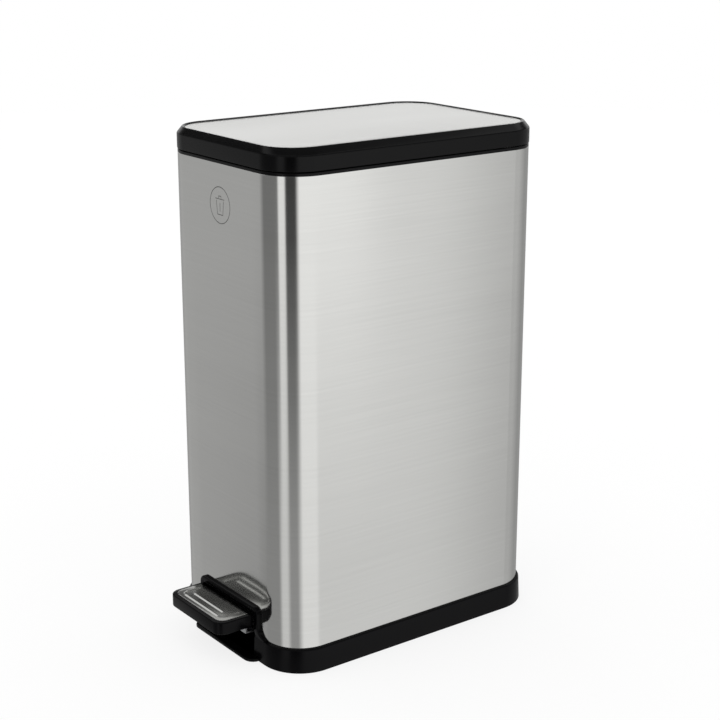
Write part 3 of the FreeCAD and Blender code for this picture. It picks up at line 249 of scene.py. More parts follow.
def ridge(path, width, height, place, loop=False):
    """A bell-shaped ridge along a flat path.

    Across it the height is (1 + cos(pi s)) / 2 for s from -1 to 1, and both width and height
    shrink to nothing at open ends as a quarter circle.
    """
    path = np.asarray(path, float)
    if loop:
        along = np.roll(path, -1, 0) - np.roll(path, 1, 0)
        taper = np.ones(len(path))
    else:
        along = np.gradient(path, axis=0)
        run = np.concatenate([[0], np.cumsum(np.linalg.norm(np.diff(path, axis=0), axis=1))])
        left = np.clip(np.minimum(run, run[-1] - run) / (width / 2), 0, 1)
        taper = np.sqrt(np.clip(1 - (1 - left) ** 2, 0.003, 1))
    along /= np.linalg.norm(along, axis=1, keepdims=True)
    across = np.stack([-along[:, 1], along[:, 0]], 1)
    s = np.linspace(-1, 1, 13)
    flat = path[:, None] + across[:, None] * (s[None, :, None] * taper[:, None, None] * width / 2)
    rise = taper[:, None] * height * (1 + np.cos(math.pi * s))[None] / 2
    under = np.full((len(path), 2), -0.25 * MM)
    flat = np.concatenate([flat, flat[:, [-1, 0]]], 1)
    rise = np.concatenate([rise, under], 1)
    return walls(np.stack(place(flat[..., 0], flat[..., 1], rise), -1), loop)


def resample(points, step):
    """Points at even steps along a polyline."""
    points = np.asarray(points, float)
    run = np.concatenate([[0], np.cumsum(np.linalg.norm(np.diff(points, axis=0), axis=1))])
    at = np.linspace(0, run[-1], max(2, int(run[-1] / step) + 1))
    return np.stack([np.interp(at, run, points[:, k]) for k in range(2)], 1)


def corners_of(node):
    """A CAD node's low and high corners as arrays."""
    low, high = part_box(node)
    return np.array(low), np.array(high)


# Pieces

def make_mesh(name, shells, sharp=35):
    """One mesh from several closed shells, merged, facing outward and smooth but at creases."""
    vertices, faces, start = [], [], 0
    for points, polygons in shells:
        vertices.append(points)
        faces += [[start + k for k in polygon] for polygon in polygons]
        start += len(points)
    mesh = bpy.data.meshes.new(name)
    mesh.from_pydata(np.concatenate(vertices).tolist(), [], faces)
    work = bmesh.new()
    work.from_mesh(mesh)
    bmesh.ops.remove_doubles(work, verts=work.verts, dist=2e-7)
    bmesh.ops.recalc_face_normals(work, faces=work.faces)
    work.to_mesh(mesh)
    work.free()
    mesh.shade_smooth()
    mesh.set_sharp_from_angle(angle=math.radians(sharp))
    return mesh


def make_piece(name, shells, finish, body, replaces=(), sharp=35, carve=()):
    """Makes a piece, cuts the carve shells out of it, and sets it on its body."""
    piece = bpy.data.objects.new(name, make_mesh(name, shells, sharp))
    bpy.context.scene.collection.objects.link(piece)
    if carve:
        cut_away(piece, carve, sharp)
    piece.data.materials.clear()
    piece.data.materials.append(finish)
    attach(piece, body)
    if replaces:
        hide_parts(*replaces)
    return piece


def cut_away(piece, shells, sharp):
    """Takes closed shells out of a piece with an exact difference."""
    tool = bpy.data.objects.new("cutter", make_mesh("cutter", shells))
    bpy.context.scene.collection.objects.link(tool)
    step = piece.modifiers.new("Cut", "BOOLEAN")
    step.operation, step.solver, step.object = "DIFFERENCE", "EXACT", tool
    step.use_self = True
    bpy.context.view_layer.update()
    seen = piece.evaluated_get(bpy.context.evaluated_depsgraph_get())
    mesh = bpy.data.meshes.new_from_object(seen)
    piece.modifiers.clear()
    piece.data = mesh
    mesh.set_sharp_from_angle(angle=math.radians(sharp))
    bpy.data.objects.remove(tool)


def block(x0, x1, y0, y1, z0, z1, edge=0.3 * MM):
    """A block with rounded edges."""
    return slab(rectangle(x0, x1, y0, y1, edge), z0, z1, edge, edge)


def clear_block(x0, x1, y0, y1, z0, z1):
    """A sharp block for cutting."""
    return stack_up([(x0, y0), (x1, y0), (x1, y1), (x0, y1)], [0, 0], [z0, z1])


def dress(node, finish):
    """Gives a carried-over CAD node its finish."""
    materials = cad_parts[node].data.materials
    materials.clear()
    materials.append(finish)


# Finishes

def new_group(name, inputs, outputs):
    """A shader node group with named sockets, and its two end nodes."""
    tree = bpy.data.node_groups.new(name, "ShaderNodeTree")
    for label, kind, value in inputs:
        socket = tree.interface.new_socket(label, in_out="INPUT", socket_type=kind)
        socket.default_value = value
    for label, kind in outputs:
        tree.interface.new_socket(label, in_out="OUTPUT", socket_type=kind)
    return tree, tree.nodes.new("NodeGroupInput"), tree.nodes.new("NodeGroupOutput")


def noise(tree, vector, scale, detail, rough=0.6):
    """A noise texture on a vector."""
    node = tree.nodes.new("ShaderNodeTexNoise")
    node.inputs["Scale"].default_value = scale
    node.inputs["Detail"].default_value = detail
    node.inputs["Roughness"].default_value = rough
    tree.links.new(vector, node.inputs["Vector"])
    return node.outputs["Fac"]


def stretched(tree, scale_socket):
    """Object coordinates multiplied by a vector."""
    where = tree.nodes.new("ShaderNodeTexCoord")
    times = tree.nodes.new("ShaderNodeVectorMath")
    times.operation = "MULTIPLY"
    tree.links.new(where.outputs["Object"], times.inputs[0])
    tree.links.new(scale_socket, times.inputs[1])
    return times.outputs["Vector"]


def brushed_group():
    """Long fine scratches in one direction over slow cloudy changes of tone."""
    if "Long Grain" in bpy.data.node_groups:
        return bpy.data.node_groups["Long Grain"]
    tree, start, end = new_group(
        "Long Grain",
        [("Stretch", "NodeSocketVector", (6, 6, 1500)),
         ("Cloud Size", "NodeSocketVector", (4, 4, 4))],
        [("Grain", "NodeSocketFloat"), ("Cloud", "NodeSocketFloat")])
    fine = noise(tree, stretched(tree, start.outputs["Stretch"]), 1, 5, 0.7)
    slow = noise(tree, stretched(tree, start.outputs["Cloud Size"]), 1, 3)
    tree.links.new(fine, end.inputs["Grain"])
    tree.links.new(slow, end.inputs["Cloud"])
    return tree


def moulded_group():
    """Spark-eroded mould texture: fine pebbles over slow changes of tone."""
    if "Moulded Grain" in bpy.data.node_groups:
        return bpy.data.node_groups["Moulded Grain"]
    tree, start, end = new_group(
        "Moulded Grain",
        [("Pebbles", "NodeSocketVector", (1400, 1400, 1400)),
         ("Cloud Size", "NodeSocketVector", (9, 9, 9))],
        [("Grain", "NodeSocketFloat"), ("Cloud", "NodeSocketFloat")])
    fine = noise(tree, stretched(tree, start.outputs["Pebbles"]), 1, 3, 0.55)
    slow = noise(tree, stretched(tree, start.outputs["Cloud Size"]), 1, 4)
    tree.links.new(fine, end.inputs["Grain"])
    tree.links.new(slow, end.inputs["Cloud"])
    return tree


def make_finish(name, colour, group, scales, tone=0.12, rough=(0.3, 0.4), metallic=0.0,
                specular=0.5, bump=0.02, depth=0.02 * MM):
    """A finish: colour and roughness vary with the grain and cloud of a group, bump with the grain."""
    if name in bpy.data.materials:
        return bpy.data.materials[name]
    material = bpy.data.materials.new(name)
    material.use_nodes = True
    tree = material.node_tree
    shader = tree.nodes["Principled BSDF"]
    grain = tree.nodes.new("ShaderNodeGroup")
    grain.node_tree = group
    for label, value in scales.items():
        grain.inputs[label].default_value = value
    mixed = tree.nodes.new("ShaderNodeMath")
    mixed.operation = "ADD"
    tree.links.new(grain.outputs["Grain"], mixed.inputs[0])
    tree.links.new(grain.outputs["Cloud"], mixed.inputs[1])
    shade = tree.nodes.new("ShaderNodeMapRange")
    for label, value in (("From Min", 0.7), ("From Max", 1.3)):
        shade.inputs[label].default_value = value
    tree.links.new(mixed.outputs[0], shade.inputs["Value"])
    tint = tree.nodes.new("ShaderNodeMix")
    tint.data_type = "RGBA"
    colour = np.array(colour)
    tint.inputs[6].default_value = (*(colour * (1 - tone)), 1)
    tint.inputs[7].default_value = (*np.minimum(colour * (1 + tone), 1), 1)
    tree.links.new(shade.outputs["Result"], tint.inputs[0])
    tree.links.new(tint.outputs[2], shader.inputs["Base Color"])
    gloss = tree.nodes.new("ShaderNodeMapRange")
    for label, value in (("From Min", 0.3), ("From Max", 0.7),
                         ("To Min", rough[0]), ("To Max", rough[1])):
        gloss.inputs[label].default_value = value
    tree.links.new(grain.outputs["Cloud"], gloss.inputs["Value"])
    tree.links.new(gloss.outputs["Result"], shader.inputs["Roughness"])
    relief = tree.nodes.new("ShaderNodeBump")
    relief.inputs["Strength"].default_value = bump
    relief.inputs["Distance"].default_value = depth
    tree.links.new(grain.outputs["Grain"], relief.inputs["Height"])
    tree.links.new(relief.outputs["Normal"], shader.inputs["Normal"])
    shader.inputs["Metallic"].default_value = metallic
    shader.inputs["Specular IOR Level"].default_value = specular
    return material


def shell_steel():
    """Brushed stainless sheet with level grain."""
    steel = bpy.context.scene.can_finishes.steel
    return make_finish("brushed_shell_finish", steel, brushed_group(),
                       {"Stretch": (4, 4, 480), "Cloud Size": (2, 2, 12)},
                       tone=0.033, rough=(0.10, 0.14), metallic=1.0, bump=0.05, depth=0.01 * MM)


def plate_steel():
    """Brushed stainless sheet with grain along the lid."""
    steel = bpy.context.scene.can_finishes.steel
    return make_finish("brushed_plate_finish", steel, brushed_group(),
                       {"Stretch": (1400, 5, 5), "Cloud Size": (6, 2, 2)},
                       tone=0.03, rough=(0.24, 0.28), metallic=1.0, bump=0.04, depth=0.01 * MM)


def tread_steel():
    """Pressed stainless tread, brushed across."""
    darker = 0.72
    steel = np.array(bpy.context.scene.can_finishes.steel) * darker
    return make_finish("pressed_tread_finish", steel, brushed_group(),
                       {"Stretch": (8, 1500, 8), "Cloud Size": (20, 20, 20)},
                       tone=0.06, rough=(0.12, 0.16), metallic=1.0, bump=0.06, depth=0.01 * MM)


def zinc_steel():
    """Zinc-plated sheet and rod, slightly cloudy."""
    return make_finish("zinc_plate_finish", (0.56, 0.57, 0.58), brushed_group(),
                       {"Stretch": (60, 60, 60), "Cloud Size": (25, 25, 25)},
                       tone=0.12, rough=(0.28, 0.42), metallic=1.0, bump=0.04, depth=0.02 * MM)


def screw_steel():
    """Bright plated screws, pins and clips."""
    return make_finish("bright_screw_finish", (0.62, 0.62, 0.60), brushed_group(),
                       {"Stretch": (900, 900, 60), "Cloud Size": (60, 60, 60)},
                       tone=0.08, rough=(0.2, 0.34), metallic=1.0, bump=0.04, depth=0.01 * MM)


def damper_metal():
    """Turned aluminium damper barrel."""
    return make_finish("turned_aluminium_finish", (0.60, 0.61, 0.63), brushed_group(),
                       {"Stretch": (20, 20, 2500), "Cloud Size": (15, 15, 15)},
                       tone=0.05, rough=(0.22, 0.32), metallic=1.0, bump=0.05, depth=0.01 * MM)


def lid_plastic():
    """Satin black moulding."""
    black = bpy.context.scene.can_finishes.lid_black
    return make_finish("satin_black_finish", black, moulded_group(), {},
                       tone=0.15, rough=(0.18, 0.26), specular=0.16, bump=0.08, depth=0.02 * MM)


def base_plastic():
    """Smoother, deeper black moulding."""
    black = bpy.context.scene.can_finishes.base_black
    return make_finish("deep_black_finish", black, moulded_group(), {"Pebbles": (900, 900, 900)},
                       tone=0.15, rough=(0.18, 0.26), specular=0.105, bump=0.05, depth=0.02 * MM)


def inner_plastic(name, colour, tone=0.12):
    """Matt polypropylene of the hidden mouldings."""
    return make_finish(name, colour, moulded_group(), {"Pebbles": (1100,) * 3},
                       tone=tone, rough=(0.42, 0.55), specular=0.35, bump=0.12, depth=0.03 * MM)


def rubber():
    """Dull dark rubber."""
    return make_finish("dull_rubber_finish", (0.018, 0.018, 0.018), moulded_group(),
                       {"Pebbles": (2200,) * 3},
                       tone=0.2, rough=(0.7, 0.85), specular=0.25, bump=0.2, depth=0.03 * MM)


def etched_mark():
    """Laser-darkened steel."""
    return make_finish("etched_line_finish", (0.16, 0.16, 0.155), moulded_group(),
                       {"Pebbles": (3000,) * 3},
                       tone=0.2, rough=(0.5, 0.65), metallic=0.6, bump=0.1, depth=0.01 * MM)


# One operator for each piece or group of like pieces

class CANS_OT_base(bpy.types.Operator):
    """Base tray with its flared lip, pedal bezel, floor tongue and posts"""

    bl_idname = "cans.base"
    bl_label = "Base"

    def execute(self, context):
        size = context.scene.can_sizes
        low, high = corners_of("base_tray")
        shell_low, shell_high = corners_of("body_shell")
        half_x, half_y, corner = shell_high[0], shell_high[1], size.body_corner
        lip_top, seat, floor = 31.7 * MM, shell_low[2], 3 * MM
        foot, lip = high[0] - half_x, 3.5 * MM
        inner = -(STEEL_WALL + FIT + 3 * MM)
        groove = -(STEEL_WALL + FIT)
        profile = rounded(
            [(inner - 5 * MM, 2 * MM), (foot - 7 * MM, 2 * MM), (foot - 7 * MM, 0), (foot, 0),
             (lip, lip_top), (FIT, lip_top), (FIT, seat), (groove, seat), (groove, lip_top),
             (inner, lip_top), (inner, floor), (inner - 5 * MM, floor)],
            np.array([0, 0.5, 0.8, 1.2, size.lip_rounding / MM, 0.5, 0, 0, 0.5, 0.8, 2, 0]) * MM)
        tray = walls(level_rings(half_x + profile[:, 0], half_y + profile[:, 0],
                                 corner + profile[:, 0], profile[:, 1]))
        post_radius, post_low = 7 * MM, 2.5 * MM
        posts = [slab(disc(x, y, post_radius), post_low, post_high, 0.5 * MM, 0.5 * MM)
                 for x, y, post_high in deck_post_spots()]
        near, far, ear_half, ear_high = 24.6 * MM, 30.6 * MM, 8 * MM, 28.3 * MM
        ears = [block(x0, x1, -ear_half, ear_half, post_low, ear_high, 1 * MM)
                for x0, x1 in ((-far, -near), (near, far))]
        tongue_half, tongue_high, reach = 70 * MM, 4 * MM, 12 * MM
        tongue = slab(rectangle(-tongue_half, tongue_half, low[1], -half_y + 8 * MM,
                                np.array([14, 14, 1, 1]) * MM), 0, tongue_high, 0.6 * MM, 1.4 * MM)
        way = clear_block(-OPENING_HALF, OPENING_HALF, -half_y - reach, -half_y + reach,
                          tongue_high, 50 * MM)
        finish = base_plastic()
        make_piece("base_tray_moulding", [tray], finish, "can",
                   replaces=["base_tray"], carve=[way])
        make_piece("base_posts", posts + ears, finish, "can")
        make_piece("pedal_tongue", [tongue], finish, "can")
        make_piece("pedal_bezel", [bezel(size, half_y, lip_top, high[2])], finish, "can",
                   sharp=40)
        dress("anti_slip_pads", rubber())
        dress("bucket_deck", inner_plastic("deck_finish", (0.03, 0.03, 0.031)))
        return {"FINISHED"}


def deck_post_spots():
    """X, Y and top of the four posts under the deck, from its screws' box."""
    low, high = corners_of("deck_screws")
    deck_low = corners_of("bucket_deck")[0][2]
    head = 3.5 * MM
    for x in (low[0] + head, high[0] - head):
        for y in (low[1] + head, high[1] - head):
            yield x, y, deck_low


def bezel(size, half_y, lip_top, top):
    """The arch round the pedal opening.

    One parameter runs along the arch: foot, jamb, corner, top and back down. The other runs
    across the band, from outer edge to inner jamb and round the sleeve behind it. Down each foot
    the face draws back from the bezel's depth to the lip's, by the sine of the foot's turn.
    """
    r, inner_r, foot, low = size.bezel_corner, 4 * MM, size.bezel_foot, 4 * MM
    turn = np.linspace(0, math.pi / 2, 13)
    foot_x, foot_z = BEZEL_HALF + foot * (1 - np.sin(turn)), lip_top + foot * (1 - np.cos(turn))
    corner_x, corner_z = BEZEL_HALF - r + r * np.cos(turn), top - r + r * np.sin(turn)
    outer = np.concatenate([
        [(foot_x[0], low), (foot_x[0], lip_top - 3 * MM)], np.stack([foot_x, foot_z], 1),
        np.stack([corner_x, corner_z], 1)])
    inner_corner = np.stack([OPENING_HALF - inner_r + inner_r * np.cos(turn),
                             OPENING_TOP - inner_r + inner_r * np.sin(turn)], 1)
    jamb_z = np.minimum(np.concatenate([[low, lip_top - 3 * MM], foot_z]), OPENING_TOP - inner_r)
    jamb = np.stack([np.full(len(jamb_z), OPENING_HALF), jamb_z], 1)
    inner = np.concatenate([jamb, inner_corner])
    mirror = np.array([-1, 1])
    outer = np.concatenate([outer, outer[::-1] * mirror])
    inner = np.concatenate([inner, inner[::-1] * mirror])
    face, back = -half_y - BEZEL_PROUD, -half_y + 6.8 * MM
    band = size.bezel_band
    across = rounded([(0, -half_y + 0.4 * MM), (0, face), (band, face), (band, back),
                      (band - 4.5 * MM, back), (band - 4.5 * MM, -half_y + 0.4 * MM)],
                     np.array([0, 1.8, 1.2, 0.5, 0.5, 0.2]) * MM)
    share, depth = across[:, 0] / band, across[:, 1]
    flat = outer[:, None] + (inner - outer)[:, None] * share[None, :, None]
    rise = np.concatenate([[0, 0], np.sin(turn), np.ones(len(turn))])
    proud = LIP_PROUD + (BEZEL_PROUD - LIP_PROUD) * np.concatenate([rise, rise[::-1]])
    past = np.minimum(depth + half_y, 0)
    y = depth[None] - past[None] * (1 - proud / BEZEL_PROUD)[:, None]
    return walls(np.stack([flat[..., 0], y, flat[..., 1]], -1))


class CANS_OT_shell(bpy.types.Operator):
    """Steel shell with its back seam and the etched mark"""

    bl_idname = "cans.shell"
    bl_label = "Steel Shell"

    def execute(self, context):
        size = context.scene.can_sizes
        low, high = corners_of("body_shell")
        half_x, half_y, corner = high[0], high[1], size.body_corner
        notch, notch_top = OPENING_HALF + SLEEVE, OPENING_TOP + SLEEVE
        cut = notch / (half_x - corner)
        step_in = np.array([0, 0, 0, -0.2, 0.2 - STEEL_WALL / MM] + [-STEEL_WALL / MM] * 3) * MM
        heights = np.array([low[2], notch_top, high[2] - 0.2 * MM, high[2], high[2], high[2] - 0.2 * MM,
                            notch_top, low[2]])
        tube = level_rings(half_x + step_in, half_y + step_in, corner + step_in, heights,
                           cuts=(-cut, -cut, cut, cut))
        tube[:, [-3, -2], 2] = np.maximum(tube[:, [-3, -2], 2], notch_top)
        finish = shell_steel()
        make_piece("steel_shell", [walls(tube, loop=True)], finish, "can",
                   replaces=["body_shell"])
        seam_half, seam_low = 6 * MM, 33 * MM
        seam = slab(rectangle(-seam_half, seam_half, seam_low, high[2] - 0.5 * MM, 0.3 * MM),
                    half_y - 0.2 * MM, half_y + 0.5 * MM, 0.05 * MM, 0.4 * MM, "xz")
        make_piece("back_seam", [seam], finish, "can")
        make_piece("front_mark", mark_lines(size, half_y), etched_mark(), "can")
        return {"FINISHED"}


def mark_lines(size, half_y):
    """A ring round a plain bin outline, as thin lines standing a little off the front."""
    centre = np.array([-2 * MM, 568 * MM])
    ring = disc(*centre, size.mark_radius, 96)
    unit, height = size.mark_radius / 10, 0.12 * MM
    body, lid = [(-3.6, 2.6), (-2.7, -5.2), (2.7, -5.2), (3.6, 2.6)], [(-4.6, 3.4), (4.6, 3.4)]
    handle, rib = [(-1.2, 3.8), (-1.2, 5.0), (1.2, 5.0), (1.2, 3.8)], [(0, 1.4), (0, -3.6)]

    def on_front(u, v, h):
        return u, -half_y - h, v

    lines = [ridge(ring, 1.1 * MM, height, on_front, loop=True)]
    for line in (body, lid, handle, rib):
        path = resample(centre + np.array(line) * unit, 0.4 * MM)
        lines.append(ridge(path, 1.0 * MM, height, on_front))
    return lines


class CANS_OT_collar(bpy.types.Operator):
    """Collar ring on the shell with its two hinge towers"""

    bl_idname = "cans.collar"
    bl_label = "Collar"

    def execute(self, context):
        size = context.scene.can_sizes
        low, high = corners_of("rim_collar")
        shell_top = corners_of("body_shell")[1][2]
        top = shell_top + 3.8 * MM
        half_x, half_y, corner = high[0], high[1], size.body_corner
        gap, wide = -(STEEL_WALL + FIT), 9 * MM
        profile = rounded([(0, shell_top), (0, top), (-wide, top), (-wide, shell_top),
                           (gap - 2 * MM, shell_top), (gap - 2 * MM, low[2]), (gap, low[2]),
                           (gap, shell_top)],
                          np.array([0.3, 0.9, 1.2, 1.2, 0.5, 0.5, 0.5, 0]) * MM, loop=True)
        ring = walls(level_rings(half_x + profile[:, 0], half_y + profile[:, 0],
                                 corner + profile[:, 0], profile[:, 1]), loop=True)
        shells = [ring]
        pin_low, pin_high = corners_of("hinge_pins")
        hinge_y, hinge_z = (pin_low[1] + pin_high[1]) / 2, (pin_low[2] + pin_high[2]) / 2
        boss, eye_low = high[2] - hinge_z, shell_top + 1 * MM
        bridge_half, eye_half = 24 * MM, 4.5 * MM
        arch = np.linspace(0, math.pi, 25)
        crown = np.stack([hinge_y + boss * np.cos(arch), hinge_z + boss * np.sin(arch)], 1)
        eye = np.concatenate([crown, [(hinge_y - boss, eye_low), (hinge_y + boss, eye_low)]])
        for middle in (-HINGE_SIDE, HINGE_SIDE):
            shells.append(block(middle - bridge_half, middle + bridge_half, half_y - 12 * MM,
                                half_y - 4.5 * MM, shell_top, top, 0.8 * MM))
            shells.append(slab(eye, middle - eye_half, middle + eye_half, 0.5 * MM, 0.5 * MM, "yz"))
        make_piece("collar_moulding", shells, lid_plastic(), "can",
                   replaces=["rim_collar"])
        return {"FINISHED"}


class CANS_OT_lid(bpy.types.Operator):
    """Lid frame, steel top plate, inner pan, bumpers and screws"""

    bl_idname = "cans.lid"
    bl_label = "Lid"

    def execute(self, context):
        size = context.scene.can_sizes
        low, high = corners_of("lid_frame")
        plate_low, plate_high = corners_of("lid_top_plate")
        half_x, half_y, corner = high[0], high[1], size.body_corner + 0.5 * MM
        plate_x, plate_y = plate_high[0] + size.plate_spread, plate_high[1] + 0.3 * size.plate_spread
        inset_x, inset_y = half_x - plate_x - FIT, half_y - plate_y - FIT
        plate_corner = 38 * MM
        crest_z, band_z, roof_z = high[2], low[2] + 18.5 * MM, high[2] - 5 * MM
        wall = 2 * MM
        rows = np.array([
            # inset x, inset y, corner, height, rounding
            (22 * MM, 22 * MM, corner - 22 * MM, roof_z, 0),
            (12 * MM, 9 * MM, corner - 12 * MM, roof_z, 1.5 * MM),
            (wall, wall, corner - wall, band_z - 1 * MM, 1.5 * MM),
            (wall, wall, corner - wall, low[2], 0.5 * MM),
            (0, 0, corner, low[2], 0.8 * MM),
            (0, 0, corner, band_z, size.shoulder_rounding),
            (8 * MM, 5.4 * MM, corner - 5.4 * MM, crest_z, size.crest_rounding),
            (inset_x, inset_y, plate_corner + FIT, plate_high[2] - 0.1 * MM, 0.3 * MM),
            (inset_x, inset_y, plate_corner + FIT, plate_low[2], 0),
            (inset_x + 5 * MM, inset_y + 5 * MM, plate_corner - 5 * MM, plate_low[2], 0),
        ])
        rows = rounded(rows[:, :4], rows[:, 4])
        grid = level_rings(half_x - rows[:, 0], half_y - rows[:, 1], rows[:, 2], rows[:, 3])
        past, under = half_y + 20 * MM, low[2] - 5 * MM      # cutters reach out of the lid to here
        eye_room, rod_room, back_edge = 5.5 * MM, 7.5 * MM, half_y - 9.5 * MM
        notches = [clear_block(middle - eye_room, middle + eye_room, half_y - 12.5 * MM, past,
                               under, 643.5 * MM) for middle in (-HINGE_SIDE, HINGE_SIDE)]
        rod_way = clear_block(-rod_room, rod_room, back_edge, past, under, low[2] + 9 * MM)
        trim = clear_block(-200 * MM, 200 * MM, back_edge, past, under, low[2] + 2 * MM)
        finish = lid_plastic()
        make_piece("lid_moulding", [walls(grid)], finish, "lid", replaces=["lid_frame"],
                   sharp=28, carve=notches + [rod_way, trim])
        edge = rounded([(10 * MM, plate_low[2]), (0, plate_low[2]), (0, plate_high[2]),
                        (10 * MM, plate_high[2])], np.array([0, 0.2, 0.7, 0]) * MM)
        plate = walls(level_rings(plate_x - edge[:, 0], plate_y - edge[:, 0],
                                  plate_corner - edge[:, 0], edge[:, 1]))
        make_piece("lid_steel_plate", [plate], plate_steel(), "lid",
                   replaces=["lid_top_plate"])
        make_piece("lid_pan", [lid_pan(size)], inner_plastic("pan_finish", (0.045, 0.045, 0.046)),
                   "lid", replaces=["lid_inner_pan"])
        dress("lid_bumpers", rubber())
        dress("lid_screws", screw_steel())
        return {"FINISHED"}


def lid_pan(size):
    """The pan under the lid: a rim, a step up to a recessed panel, both as level rings."""
    low, high = corners_of("lid_inner_pan")
    half_x, half_y = (high[0] - low[0]) / 2, (high[1] - low[1]) / 2
    centre = ((high[0] + low[0]) / 2, (high[1] + low[1]) / 2)
    corner = size.body_corner - 1.6 * MM
    step = 1.2 * MM
    rows = rounded([(20 * MM, low[2] + step), (13 * MM, low[2] + step), (11 * MM, low[2]), (0, low[2]),
                    (0, high[2]), (11 * MM, high[2]), (13 * MM, high[2] + step),
                    (20 * MM, high[2] + step)],
                   np.array([0, 1, 1, 0.6, 0.6, 1, 1, 0]) * MM)
    return walls(level_rings(half_x - rows[:, 0], half_y - rows[:, 0], corner - rows[:, 0],
                             rows[:, 1], centre))


class CANS_OT_bucket(bpy.types.Operator):
    """Inner bucket with its rolled rim and foot ring"""

    bl_idname = "cans.bucket"
    bl_label = "Inner Bucket"

    def execute(self, context):
        low, high = corners_of("inner_bucket")
        centre = (0, (low[1] + high[1]) / 2)
        flange, wall, draft = 6 * MM, 1.8 * MM, 15 * MM
        half_x, half_y = high[0] - flange, (high[1] - low[1]) / 2 - flange
        floor_z, top = 42.8 * MM, high[2]
        rows = np.array([
            # out, corner, height, rounding
            (-draft - 40 * MM, 10 * MM, floor_z, 0),
            (-draft - 35 * MM, 13 * MM, floor_z, 0.5 * MM),
            (-draft - 35 * MM, 13 * MM, low[2], 0.5 * MM),
            (-draft - 30 * MM, 15 * MM, low[2], 0.5 * MM),
            (-draft - 30 * MM, 15 * MM, floor_z, 0.5 * MM),
            (-draft, 30 * MM, floor_z, 8 * MM),
            (0, 42 * MM, top - 3 * MM, 0.5 * MM),
            (flange - 1.5 * MM, 48 * MM, top - 3 * MM, 0.3 * MM),
            (flange - 1.5 * MM, 48 * MM, top - 9 * MM, 0.3 * MM),
            (flange, 48 * MM, top - 9 * MM, 0.3 * MM),
            (flange, 48 * MM, top, 1.5 * MM),
            (-wall, 40.2 * MM, top, 1.5 * MM),
            (-draft - wall, 28.2 * MM, floor_z + 2.5 * MM, 7 * MM),
            (-draft - 40 * MM, 10 * MM, floor_z + 2.5 * MM, 0),
        ])
        rows = rounded(rows[:, :3], rows[:, 3])
        grid = level_rings(half_x + rows[:, 0], half_y + rows[:, 0], rows[:, 1], rows[:, 2], centre)
        finish = inner_plastic("bucket_finish", context.scene.can_finishes.bucket_grey)
        make_piece("bucket_moulding", [walls(grid)], finish, "can",
                   replaces=["inner_bucket"])
        return {"FINISHED"}


class CANS_OT_pedal(bpy.types.Operator):
    """Hollow pedal, ridged steel tread and the lever that carries them"""

    bl_idname = "cans.pedal"
    bl_label = "Pedal"

    def execute(self, context):
        size = context.scene.can_sizes
        low, high = corners_of("pedal_body")
        round_corners = np.array([14, 14, 1.5, 1.5]) * MM
        shape = rectangle(low[0], high[0], low[1], high[1], round_corners)
        wall, roof = 3 * MM, 3.5 * MM
        a = np.linspace(0, math.pi / 2, EDGE_CHORDS)
        lower, upper = 0.8 * MM, 1.6 * MM
        insets = np.concatenate([[wall, wall], lower * (1 - np.sin(a)), upper * (1 - np.cos(a))])
        heights = np.concatenate([[high[2] - roof, low[2]], low[2] + lower * (1 - np.cos(a)),
                                  high[2] - upper * (1 - np.sin(a))])
        make_piece("pedal_moulding", [stack_up(shape, insets, heights)], base_plastic(), "pedal",
                   replaces=["pedal_body"])
        make_piece("tread_plate", tread(size), tread_steel(), "pedal",
                   replaces=["pedal_tread"])
        dress("pedal_lever", zinc_steel())
        dress("pedal_screws", screw_steel())
        return {"FINISHED"}


def tread(size):
    """The tread: a plate with a rolled edge, a U-shaped ridge open to the body and a straight one."""
    low, high = corners_of("pedal_tread")
    margin, thick = 3 * MM, 0.8 * MM
    side, front, back = high[0] - margin, low[1] + 2.5 * MM, high[1]
    top = low[2] + thick
    plate = slab(rectangle(-side, side, front, back, np.array([11, 11, 1, 1]) * MM),
                 low[2], top, 0.1 * MM, 0.5 * MM)

    def on_top(u, v, h):
        return u, v, top + h

    height, step = 1 * MM, 0.7 * MM
    leg, run, end = side - 9 * MM, front + 7 * MM, back - 7 * MM
    turned = rounded([(-leg, end), (-leg, run), (leg, run), (leg, end)], np.array([0, 8, 8, 0]) * MM)
    around = ridge(resample(turned, step), size.ridge_width, height, on_top)
    reach, middle = side - 19 * MM, front + 18 * MM
    line = resample([(-reach, middle), (reach, middle)], step)
    return [plate, around, ridge(line, size.ridge_width, height, on_top)]


class CANS_OT_linkage(bpy.types.Operator):
    """Push rod, crank, hinge hardware, damper and lever shaft"""

    bl_idname = "cans.linkage"
    bl_label = "Linkage"

    def execute(self, context):
        finishes = {
            zinc_steel(): ("lid_hinge_bracket_left", "lid_hinge_bracket_right", "lid_crank",
                           "push_rod", "damper_arm"),
            screw_steel(): ("hinge_pins", "hinge_clips", "crank_pin", "damper_piston_rod",
                            "lever_shaft", "shaft_clips", "deck_screws"),
            damper_metal(): ("damper_cylinder",),
            inner_plastic("guide_finish", (0.62, 0.62, 0.60), 0.05):
                ("push_rod_guides", "damper_clamp"),
        }
        for finish, nodes in finishes.items():
            for node in nodes:
                dress(node, finish)
        return {"FINISHED"}


# Studio

# Upright softboxes, grey walls and black flags round the studio: the first and last azimuth of
# each in degrees and its level. The light changes evenly from one to the next.
HIGH_PANELS = ((-170, -145, 0.45), (-130, -85, 0.20), (-80, -65, 0.95), (-60, -35, 0.05),
               (-25, 35, 1.05), (37, 40, 0.85), (45, 60, 0.55), (90, 150, 0.35))
LOW_PANELS = ((-170, -150, 0.45), (-145, -95, 0.30), (-85, -70, 0.70), (-60, -40, 0.35),
              (-25, 15, 0.90), (25, 40, 0.75), (45, 60, 0.50), (90, 150, 0.35))
SKY_PANELS = ((-170, -120, 0.15), (-105, 100, 0.55), (125, 165, 1.10))

